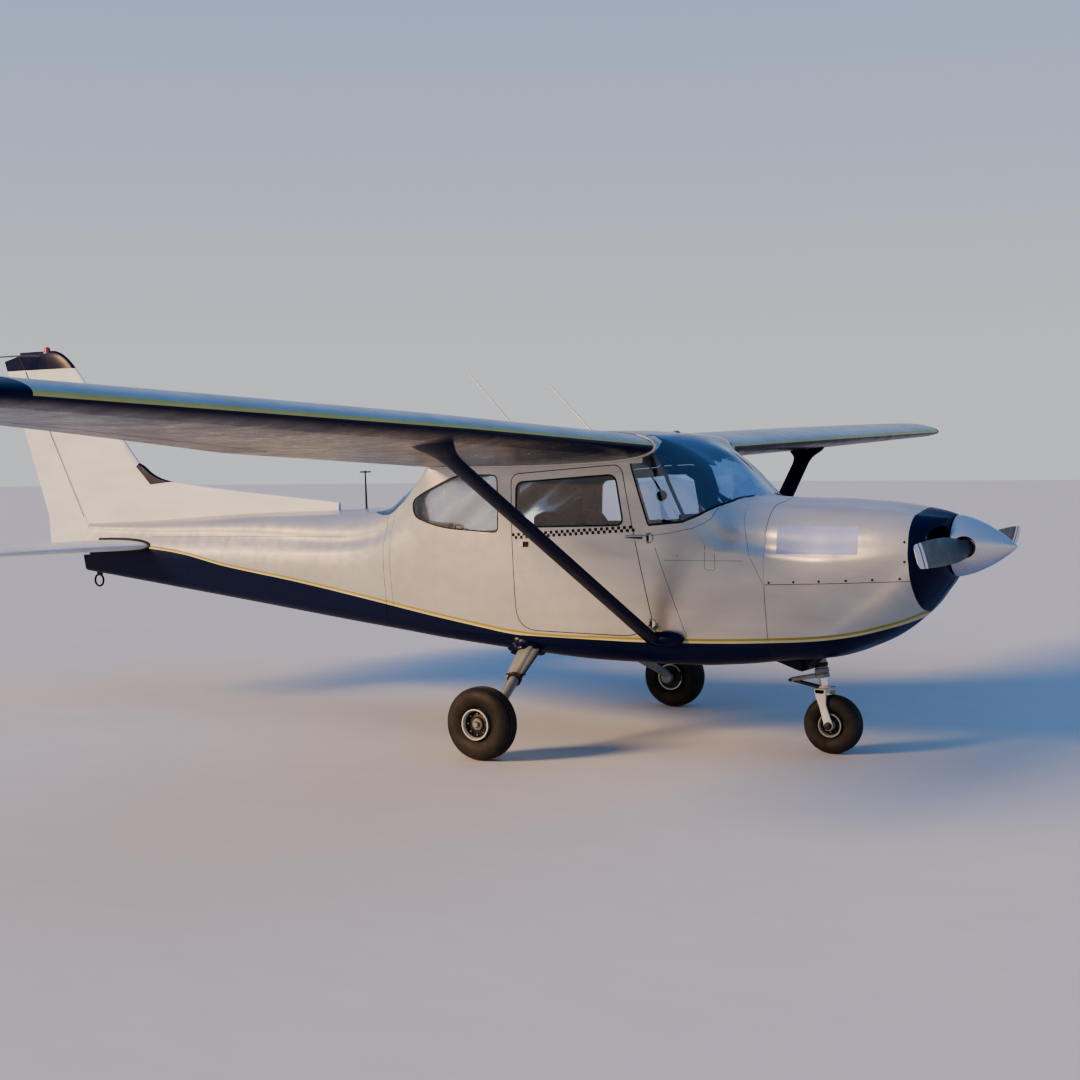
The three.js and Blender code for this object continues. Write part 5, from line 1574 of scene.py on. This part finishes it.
arm = bevelled(prism("forkArm", armOutline, 1, fork["armY"], fork["armY"] + 16), 30)
forkParts = [(arm, "forkPaint"), (mirrored(arm, "forkArmRight"), "forkPaint")]
crownRings = []
for y in (-fork["armY"] - 16, -fork["armY"] - 8, -40, 0, 40, fork["armY"] + 8, fork["armY"] + 16):
    thin = 0.82 if abs(y) > fork["armY"] + 10 else 1
    centre = strutAxis(378)[0] - 1
    crownRings.append([(centre + 34 * thin * math.copysign(abs(math.cos(a)) ** 0.5, math.cos(a)), y,
                        377 + 15 * thin * math.copysign(abs(math.sin(a)) ** 0.5, math.sin(a)))
                       for a in (math.tau * k / 24 for k in range(24))])
forkParts.append((loft("forkCrown", crownRings), "forkPaint"))
forkParts.append((sweep("forkAxle",
                        [(205, -fork["armY"] - 20, noseHeight), (205, fork["armY"] + 20, noseHeight)],
                        noseTyre["bore"] - 0.5, 24), "bare"))
for side in (-1, 1):
    nutProfile = [(side * reach, radius) for reach, radius in ((0, 24), (6, 24), (8, 18), (16, 18), (18, 12))]
    nutCentre = (205, side * (fork["armY"] + 16), noseHeight)
    forkParts.append((lathe(f"forkNut{side}", nutProfile, nutCentre, 1, 24), "darkMetal"))
forkParts.append((sweep("oleoPiston", [strutAxis(382), strutAxis(470)], 24, 36), "chrome"))
forkParts.append((sweep("oleoFoot", [strutAxis(384), strutAxis(398), strutAxis(402)], [38, 36, 30], 32),
                  "forkPaint"))
forkParts.append((sweep("oleoWiper", [strutAxis(450), strutAxis(454), strutAxis(473)], [38, 42, 42], 32),
                  "gearPaint"))
knee = (strutAxis(420)[0] - 205, 0, 425)
for side in (-1, 1):
    upperLink = [strutAxis(462, -34, side * 24), (knee[0], side * 15, knee[2])]
    lowerLink = [(knee[0], side * 13, knee[2]), strutAxis(392, -30, side * 24)]
    forkParts.append((sweep(f"linkUpper{side}", upperLink, 13, 16, 6), "gearPaint"))
    forkParts.append((sweep(f"linkLower{side}", lowerLink, 8, 16, 6), "darkMetal"))
forkParts.append((sweep("linkPin", [(knee[0], -30, knee[2]), (knee[0], 30, knee[2])], 9, 20), "darkMetal"))
forkParts.append((sweep("linkWeb", [strutAxis(455, -60, 0), (knee[0] + 40, 0, knee[2] + 4)], 10, 12, 5),
                  "gearPaint"))
place(gather("noseForkPiece", forkParts), "steered_fork", "gear_steel", ["nose_fork"])
print("nose gear is made")

# cabin fittings
panelInside = bodyLoft(body["rows"], "panelInside", -body["wall"] - 1, 20)
kept |= {panelInside}
panelFace = carve(panelInside, [box(-520, -460, -far, far, 1010, 1420)], name="panelFace")
glareShield = carve(panelInside, [box(-565, -440, -far, far, 1405, 1432)], name="glareShield")
dialSpots, bezelSpots = [], []
for row, z in enumerate((1345, 1255, 1165)):
    for column in range(-4, 5):
        y = column * 92
        if abs(y) < 50 and row:
            continue
        dialSpots.append(((-522, y, z), (-1, 0, 0), (0, 1, 0)))
        bezelSpots.append(((-520.5, y, z), (-1, 0, 0), (0, 1, 0)))
panelParts = [(panelFace, "plastic"), (glareShield, "plastic"),
              (setOut("dialBezels", bezelSpots, "round", 43, 40, 6, "black"), "black"),
              (setOut("dialFaces", dialSpots, "round", 36, 36, 7, "dial"), "dial")]
for side in (-1, 1):
    y = side * 260
    horns = curved([(-725, y - 150, 1290), (-723, y - 152, 1230), (-722, y - 120, 1170), (-720, y - 40, 1150),
                    (-720, y + 40, 1150), (-722, y + 120, 1170), (-723, y + 152, 1230),
                    (-725, y + 150, 1290)], 5)
    panelParts.append((sweep(f"yokeWheel{side}", horns, 12, 14), "black"))
    panelParts.append((sweep(f"yokeShaft{side}", [(-500, y, 1180), (-730, y, 1158)], 14, 20), "bare"))
place(gather("instrumentPiece", panelParts), slot="panel_plastic", stands=["instrument_panel"])

cabinParts = [
    (sweep("compassRod", [(-934, 0, 1555), (-1001, 0, 1647), (-1022, 0, 1747), (-1015, 0, 1904)], 6, 12),
     "black"),
    (lathe("compassBall", [(-34, 3), (-30, 16), (-18, 30), (0, 35), (18, 30), (30, 16), (34, 3)],
           (-933, 0, 1532), 2, 28), "black"),
]
for side in (-1, 1):
    brace = [(-560, side * 450, 1420), (-765, side * 230, 1608), (-970, side * 14, 1795),
             (-990, side * 14, 1900)]
    cabinParts.append((sweep(f"screenBrace{side}", brace, 11, 16), "black"))
place(gather("cabinFittings", cabinParts), slot="panel_plastic")

# folded foil boards behind the quarter windows
board = {"from": -1785, "to": -2535, "low": 1285, "high": 1690, "step": 25, "fold": 22, "pitch": 170}
boardTree = treeOf(panelInside)
boardRings = []
for i in range((board["from"] - board["to"]) // board["step"] + 1):
    x = board["from"] - board["step"] * i
    outer = []
    y = 500
    for z in range(board["low"], board["high"], board["step"]):
        found = touch(boardTree, (x, 1400, z), (0, -1, 0))
        y = found[0][1] if found else y
        outer.append((x, y - 4 - board["fold"] * (1 + math.sin((z - x * 0.7) / board["pitch"] * math.pi)) / 2,
                      z))
    boardRings.append(outer + [(px, py - 4, pz) for px, py, pz in reversed(outer)])
boardLeft = carve(loft("foilBoard", boardRings), [sidePrism(rounded(outlines["quarter"], 14))],
                  name="foilBoard_left")
for piece, _ in pairOf(boardLeft, "foilBoard_right"):
    settle(piece, "shade", slot="bare_metal", sharp=8)

seatShapes = {
    "front": {"cushion": (-930, -1340, 850, 975), "back": [(-1335, 930), (-1585, 1450)], "thick": 95},
    "rear": {"cushion": (-1930, -2300, 850, 960), "back": [(-2290, 910), (-2440, 1325)], "thick": 90},
}


padding = {"voxel": 0.016, "pressure": 4.0, "frames": 20, "cap": 0.020}


def softBlock(name, corners):
    # a cushion: a plain closed form that is blown up a little as cloth, then smoothed
    pad = loft(name, corners)
    remesh = pad.modifiers.new("remesh", "REMESH")
    remesh.mode = "VOXEL"
    remesh.voxel_size = padding["voxel"]
    applied(pad)
    start = [vertex.co.copy() for vertex in pad.data.vertices]
    cloth = pad.modifiers.new("cloth", "CLOTH")
    cloth.settings.use_pressure = True
    cloth.settings.uniform_pressure_force = padding["pressure"]
    cloth.settings.effector_weights.gravity = 0
    for number in range(padding["frames"]):
        bpy.context.scene.frame_set(number + 1)
    applied(pad)
    bpy.context.scene.frame_set(1)
    for vertex, first in zip(pad.data.vertices, start):
        move = vertex.co - first
        if move.length > padding["cap"]:
            vertex.co = first + move * (padding["cap"] / move.length)
    smooth = pad.modifiers.new("smooth", "SUBSURF")
    smooth.levels = smooth.render_levels = 1
    return applied(pad)


def makeSeat(name, shape, y0, y1, node):
    x0, x1, z0, z1 = shape["cushion"]
    inset = 18
    base = [[(x0, y0 + inset, z), (x0, y1 - inset, z), (x1, y1 - inset, z), (x1, y0 + inset, z)]
            for z in (z0 + 14, z1 - 22)]
    cushion = softBlock(name + "Cushion", base)
    (bx0, bz0), (bx1, bz1) = shape["back"]
    thick = shape["thick"]
    wide, tall = (y1 - y0) / 2 - inset, math.hypot(bx1 - bx0, bz1 - bz0)
    front = rounded([(-wide, 0, 20), (wide, 0, 20), (wide * 0.9, tall, 130), (-wide * 0.9, tall, 130)])
    lean = [[(bx0 + (bx1 - bx0) * up / tall - depth, (y0 + y1) / 2 + across,
              bz0 + (bz1 - bz0) * up / tall - depth * 0.17)
             for across, up in front] for depth in (0, thick)]
    rest = softBlock(name + "Back", lean)
    for pad in (cushion, rest):
        settle(pad, "cloth", slot="seat_cloth")
    legs = gather(name + "Frame", [
        (box(x0 - 420, x0 - 80, y0 + 60, y1 - 60, body["floorTop"] + 1, 700, name + "Rail"), "darkMetal"),
        (box(x0 - 380, x0 - 120, y0 + 80, y1 - 80, 700, 858, name + "Box"), "plastic"),
    ])
    place(legs, slot="seat_cloth", stands=[node])


makeSeat("seatFrontLeft", seatShapes["front"], 60, 455, "seat_front_left")
makeSeat("seatFrontRight", seatShapes["front"], -455, -60, "seat_front_right")
makeSeat("seatRear", seatShapes["rear"], -400, 400, "seat_rear")
print("cabin fittings are made")

# seals, seams and screws
trims = []
for side in (-1, 1):
    for label, outline, grow, width, finish, ride in (
        ("quarterSeal", "quarter", 2, 7, "black", "airframe"),
        ("doorWindowSeal", "doorWindow", 3, 10, "black", "door"),
    ):
        shape = grown(rounded(outlines[outline]), grow)
        path, normals = onSide(bodyTree, shape + shape[:1], side, 30)
        strip = ribbon(f"{label}_{side}", path[:-1], normals[:-1], width, 2.2, closed=True)
        target = "airframe" if ride == "airframe" else f"door_{'left' if side > 0 else 'right'}_body"
        settle(strip, finish, target, "panel_plastic")
    screenEdge = [(-742, 1369), (-530, 1390), (-440, 1428), (-330, 1487), (-280, 1508), (-228, 1540)]
    path, normals = onSide(bodyTree, screenEdge, side, 20)
    trims.append((ribbon(f"screenSeal{side}", path, normals, 13, 2.4), "black"))
    pillar = [(-745, 1372), (-860, 1732)]
    path, normals = onSide(bodyTree, pillar, side, 30)
    trims.append((ribbon(f"pillarSeal{side}", path, normals, 9, 1.8), "black"))
    for number, line in enumerate((
        [(-732, 1301), (-707, 1308), (-592, 1325), (-465, 1353), (-400, 1383), (-358, 1412), (-330, 1468),
         (-278, 1520),
         (-242, 1539), (-180, 1545)],
        [(-701, 1233), (-612, 968), (-523, 703)],
        [(-646, 1160), (-400, 1163), (-150, 1167)],
        [(-384, 1257), (-388, 1120), (-380, 1109), (-330, 1109), (-322, 1120), (-324, 1257)],
        [(-182, 1489), (-114, 1200), (-32, 1030)], [(-31, 1024), (-31, 707)],
        [(-3150, 1246), (-4200, 1226), (-5187, 1201)],
        [(-2700, 800), (-2700, 1480)],
    )):
        path, normals = onSide(bodyTree, line, side, 25)
        if len(path) > 1:
            trims.append((ribbon(f"seam{number}{side}", path, normals, 3 if number < 2 else 2.2, 0.5),
                          "seam"))
    hingeEdge = []
    for z in (1340, 1700, 2100, 2520):
        x = rudderHingeX(z) + 6
        chord = finLeadX(z) - finTrailX(z)
        hingeEdge.append((x, side * (chord * halfThick(finShape["thickness"], (finLeadX(z) - x) / chord) + 1),
                          z))
    trims.append((sweep(f"hingeEdge{side}", hingeEdge, 3.5, 8), "seam"))
place(gather("bodySeams", trims), slot="panel_plastic")

checkBand = {"front": -862, "back": -1696, "middle": (-1352, 1319), "slope": 0.072, "step": 39.5, "drop": 19}
for side, name in ((-1, "right"), (1, "left")):
    spots = []
    for row in (0, 1):
        x = checkBand["front"] + checkBand["step"] / 2 * row
        while x > checkBand["back"]:
            rise = checkBand["slope"] * (x - checkBand["middle"][0])
            z = checkBand["middle"][1] + rise - checkBand["drop"] * row
            spots.append((*fromSide(bodyTree, x, z, side), (1, 0, checkBand["slope"])))
            x -= checkBand["step"]
    checks = setOut(f"checkBand_{name}", spots, "square", 19.2, 18.8, 1.2, "black")
    place(checks, f"door_{name}_body", "panel_plastic")

# screws run along the split of the cowls, 14 mm over it, and down their front and back edges
screwPlaces = [(x, 1030 + (1072 - 1030) * x / 788 + 14) for x in (0, 150, 300, 450, 590, 735)]
screwPlaces += [(768, 1180), (768, 1290), (-95, 1262)]
screwSpots = [(*fromSide(cowlTree, x, z, side), (1, 0, 0)) for side in (-1, 1) for x, z in screwPlaces]
place(setOut("cowlScrews", screwSpots, "round", 7.5, 6, 3, "darkMetal"), slot="bare_metal")

rivetSpots = []
for side in (-1, 1):
    for x, low in ((-2690, 840), (-2712, 840), (-3560, 960), (-4250, 1040), (-4900, 1120)):
        rivetSpots += rowOf(bodyTree, [(x, low), (x, 1440 if x > -3000 else 1320)], 38, side)
    for rise in (6, -6):
        rivetSpots += rowOf(bodyTree, [(-3150, 1246 + rise), (-5187, 1201 + rise)], 45, side)
place(setOut("bodyRivets", rivetSpots, "round", 2.6, 1.6, 0.7, "silver"), slot="silver_paint")

wingRows = {
    "ribs": [620, 960, 1320, 1680, 2040, 2400, 2560, 2920, 3300, 3700, 4100, 4500, 4900, 5200], "ribStep": 45,
    "spars": (0.12, 0.3, 0.62), "sparStep": 46,
}
rivetPlaces = []
for y in wingRows["ribs"]:
    section = sectionAt(wing["rows"], y)
    count = int(section[3] * 0.66 / wingRows["ribStep"])
    for way in (-1, 1):
        for k in range(count):
            x = section[1] - section[3] * 0.07 - wingRows["ribStep"] * k
            rivetPlaces.append((x, y, way, (1, 0, 0)))
for share in wingRows["spars"]:
    for way in (-1, 1):
        for k in range(100):
            y = 600 + k * wingRows["sparStep"]
            section = sectionAt(wing["rows"], y)
            rivetPlaces.append((section[1] - section[3] * share, y, way, (0, 1, 0)))
found = [(touch(wingTree, (x, y, 1900 - way * 600), (0, 0, way)), run) for x, y, way, run in rivetPlaces]
wingRivets = [(*spot, run) for spot, run in found if spot]
flipped = [((p[0], -p[1], p[2]), (n[0], -n[1], n[2]), a) for p, n, a in wingRivets]
place(setOut("wingRivets", wingRivets + flipped, "round", 2.6, 1.6, 0.7, "silver"), slot="silver_paint")
print("seals, seams and screws are made")

# blank pale panel on each side of the cowl
stickerTool = prism("tool", [(42, 1212), (520, 1217), (513, 1374), (40, 1369)], 1, -far, far)
sticker = carve(cowlProud, [stickerTool], [cowlSolid], "palePanels")
settle(sticker, "sticker", slot="silver_paint")

# hinges and latches of the doors
hingeLine = [Vector((-741, 525, 775)), Vector((-741, 566, 1291))]
hingeWay = (hingeLine[1] - hingeLine[0]).normalized()


def hingeRound(name, spot, start, end, radius=8):
    return sweep(name, [tuple(spot + hingeWay * start), tuple(spot + hingeWay * end)], radius, 20)


def fixedKnuckles():
    parts = []
    for spot in hingeLine:
        for start, end in ((-30, -15.5), (15.5, 30)):
            parts.append((hingeRound("knuckle", spot, start, end), "bare"))
        plate = [(spot.x + 5, spot.z - 27), (spot.x + 27, spot.z - 12), (spot.x + 27, spot.z + 12),
                 (spot.x + 5, spot.z + 27)]
        parts.append((prism("hingePlate", plate, 1, spot.y - 16, spot.y + 1), "rim"))
    return parts


def doorKnuckles():
    parts = [(hingeRound("knuckle", spot, -15, 15), "black") for spot in hingeLine]
    strapPath = [(-742, 563, 1291), (-790, 562.5, 1291), (-860, 561, 1291), (-895, 559.5, 1291)]
    rings = []
    for (x, y, z), high in zip(strapPath, (15, 17, 17, 12)):
        rings.append([(x, y - 3.5, z - high), (x, y + 2.5, z - high), (x, y + 4.5, z - high * 0.7),
                      (x, y + 4.5, z + high * 0.7), (x, y + 2.5, z + high), (x, y - 3.5, z + high)])
    parts.append((loft("hingeStrap", rings), "rim"))
    # the slot in the strap is a black piece: painted shade in the slot
    slotRings = []
    for x, high, front in ((-775, 6, 567.5), (-840, 4.5, 566.5), (-888, 2, 565)):
        slotRings.append([(x, 563, 1291 - high), (x, front, 1291 - high), (x, front, 1291 + high),
                          (x, 563, 1291 + high)])
    parts.append((loft("strapSlot", slotRings), "black"))
    found = fromSide(bodyTree, -1615, 1236, 1)[0]
    plate = [(-1655, 1214), (-1578, 1216), (-1575, 1258), (-1652, 1257)]
    parts.append((prism("latchPlate", plate, 1, found[1] - 2, found[1] + 1.4), "frame"))
    # the latch pocket is a thin black sheet: painted shade in the recess
    pocket = [(-1624, 1218), (-1582, 1220), (-1580, 1253), (-1622, 1252)]
    parts.append((prism("latchPocket", pocket, 1, found[1] + 1, found[1] + 2.2), "black"))
    parts.append((box(-1652, -1618, found[1], found[1] + 11, 1226, 1250, "latchLever"), "rim"))
    return parts


for name, parts, ride in (("hingeFixed", fixedKnuckles(), "airframe"),
                          ("doorFittings", doorKnuckles(), "door_{}_body")):
    for piece, side in pairOf(gather(f"{name}_left", parts), f"{name}_right"):
        place(piece, ride.format(side), "bare_metal")

# antennas, pitot, tie-down, lamps and small fittings
fittings = []
for start, tip in (((-1400, 0, 1914), (-1752, 0, 2256)), ((-1888, 0, 1848), (-2375, 0, 2344))):
    fittings.append((sweep("whip", [start, tip], [7, 4.5], 12), "rim"))
    base = [(start[0], 0, start[2] - 20), (start[0], 0, start[2] + 8), (start[0], 0, start[2] + 18)]
    fittings.append((sweep("whipBase", base, [22, 19, 10], 24), "black"))
place(gather("whipFront", fittings[:2]), slot="bare_metal", stands=["whip_front"])
place(gather("whipRear", fittings[2:]), slot="bare_metal", stands=["whip_rear"])
mast = [(sweep("mast", [(-3258, 0, 1424), (-3268, 0, 1700)], [8, 5], 16), "darkMetal"),
        (sweep("mastBar", [(-3266, -60, 1690), (-3266, 60, 1690)], 5, 12), "darkMetal"),
        (sweep("mastFoot", [(-3258, 0, 1418), (-3258, 0, 1436)], [26, 12], 20), "bare")]
place(gather("mastPiece", mast), slot="bare_metal", stands=["spine_mast"])
pitotPost = sweep("pitotPost", [(-1250, 3000, 1803), (-1250, 3000, 1872)], [11, 14], 20, 7)
pitotBar = sweep("pitotBar", curved([(x, 3000, 1803) for x in (-1262, -1200, -1120)], 3), 8, 20)
place(gather("pitotTube", [(pitotPost, "bare"), (pitotBar, "bare")]), slot="bare_metal", stands=["pitot"])
tieRing = loftAround("tieRing",
                     [(-5932 + 46 * math.cos(math.tau * k / 40), 0, 836 + 46 * math.sin(math.tau * k / 40))
                                 for k in range(40)], 8)
place(gather("tieDownRing", [(tieRing, "navy"), (box(-5950, -5900, -7, 7, 872, 915, "tieFoot"), "navy")]),
      slot="navy_paint")

# fairing between cabin and wing root
fairSkin = carve(bodyLoft(body["rows"], "tool", 2.5), [
    sidePrism([(-2300, 1706), (-862, 1757), (-800, 1768), (-735, 1785), (-705, 1803), (-690, 1830),
               (-690, 1900), (-2300, 1900)]),
], [bodySolid, box(-far, far, -480, 480, -far, far)], "rootFairing")
rootRing = wingRing([558, *wing["rows"][0][1:]])
rootParts = [(fairSkin, "silver"),
             (lathe("roofLump", [(-4, 26), (6, 24), (13, 14), (15, 2)], (-830, 0, 1926), 2, 24), "bare")]
for side in (-1, 1):
    nose = [(x, side * y, z) for x, y, z in rootRing[30:]]
    rootParts.append((sweep(f"rootFillet{side}", nose, 13, 12), "silver"))
    rootParts.append((sweep(f"rootSeam{side}", [(x, side * 575, z + 1) for x, _, z in rootRing[8:35]], 3, 8),
                      "seam"))
place(gather("wingRootFairing", rootParts), slot="silver_paint")

capAerial = {"path": [(-6545, 22, 2640), (-6600, 80, 2646), (-6760, 250, 2632), (-6880, 390, 2618)],
             "radii": [6.5] * 7 + [6] * 6 + [5] * 6}
navLamp = {"profile": [(0, 16), (14, 15), (26, 9), (30, 1)], "y": 5398,
           "finish": {1: "beacon", -1: "lampGreen"}}
tailSeal = {"back": -5830, "width": 22, "height": 5, "spread": 1.15}
smallParts = []
for side in (-1, 1):
    aerial = curved([(x, side * y, z) for x, y, z in capAerial["path"]])
    smallParts.append((sweep(f"capAerial{side}", aerial, capAerial["radii"], 10), "bare"))
    lampFoot = wingRing(tipRowAt(5400))[36]
    lampPlace = (lampFoot[0] - 70, side * navLamp["y"], lampFoot[2] - 2)
    lampProfile = [(side * reach, radius) for reach, radius in navLamp["profile"]]
    smallParts.append((lathe(f"navLamp{side}", lampProfile, lampPlace, 1, 24), navLamp["finish"][side]))
    row = sectionAt(tail["rows"], 0)
    found = []
    for share, rise in symmetric(0.07)[6:-6]:
        x = row[1] - share * row[2]
        spot = fromSide(bodyTree, x, tail["hingeZ"] + rise * row[2] * tailSeal["spread"], side, 600)
        if spot and x > tailSeal["back"]:
            found.append(spot)
    path, normals = [spot[0] for spot in found], [spot[1] for spot in found]
    smallParts.append((ribbon(f"tailSeal{side}", path, normals, tailSeal["width"], tailSeal["height"]),
                       "black"))
place(gather("smallFittings", smallParts), slot="bare_metal")
print("small fittings are made")

# tools go
drop(*kept, *[piece for piece in bpy.context.scene.objects if piece.name.startswith("tool")])
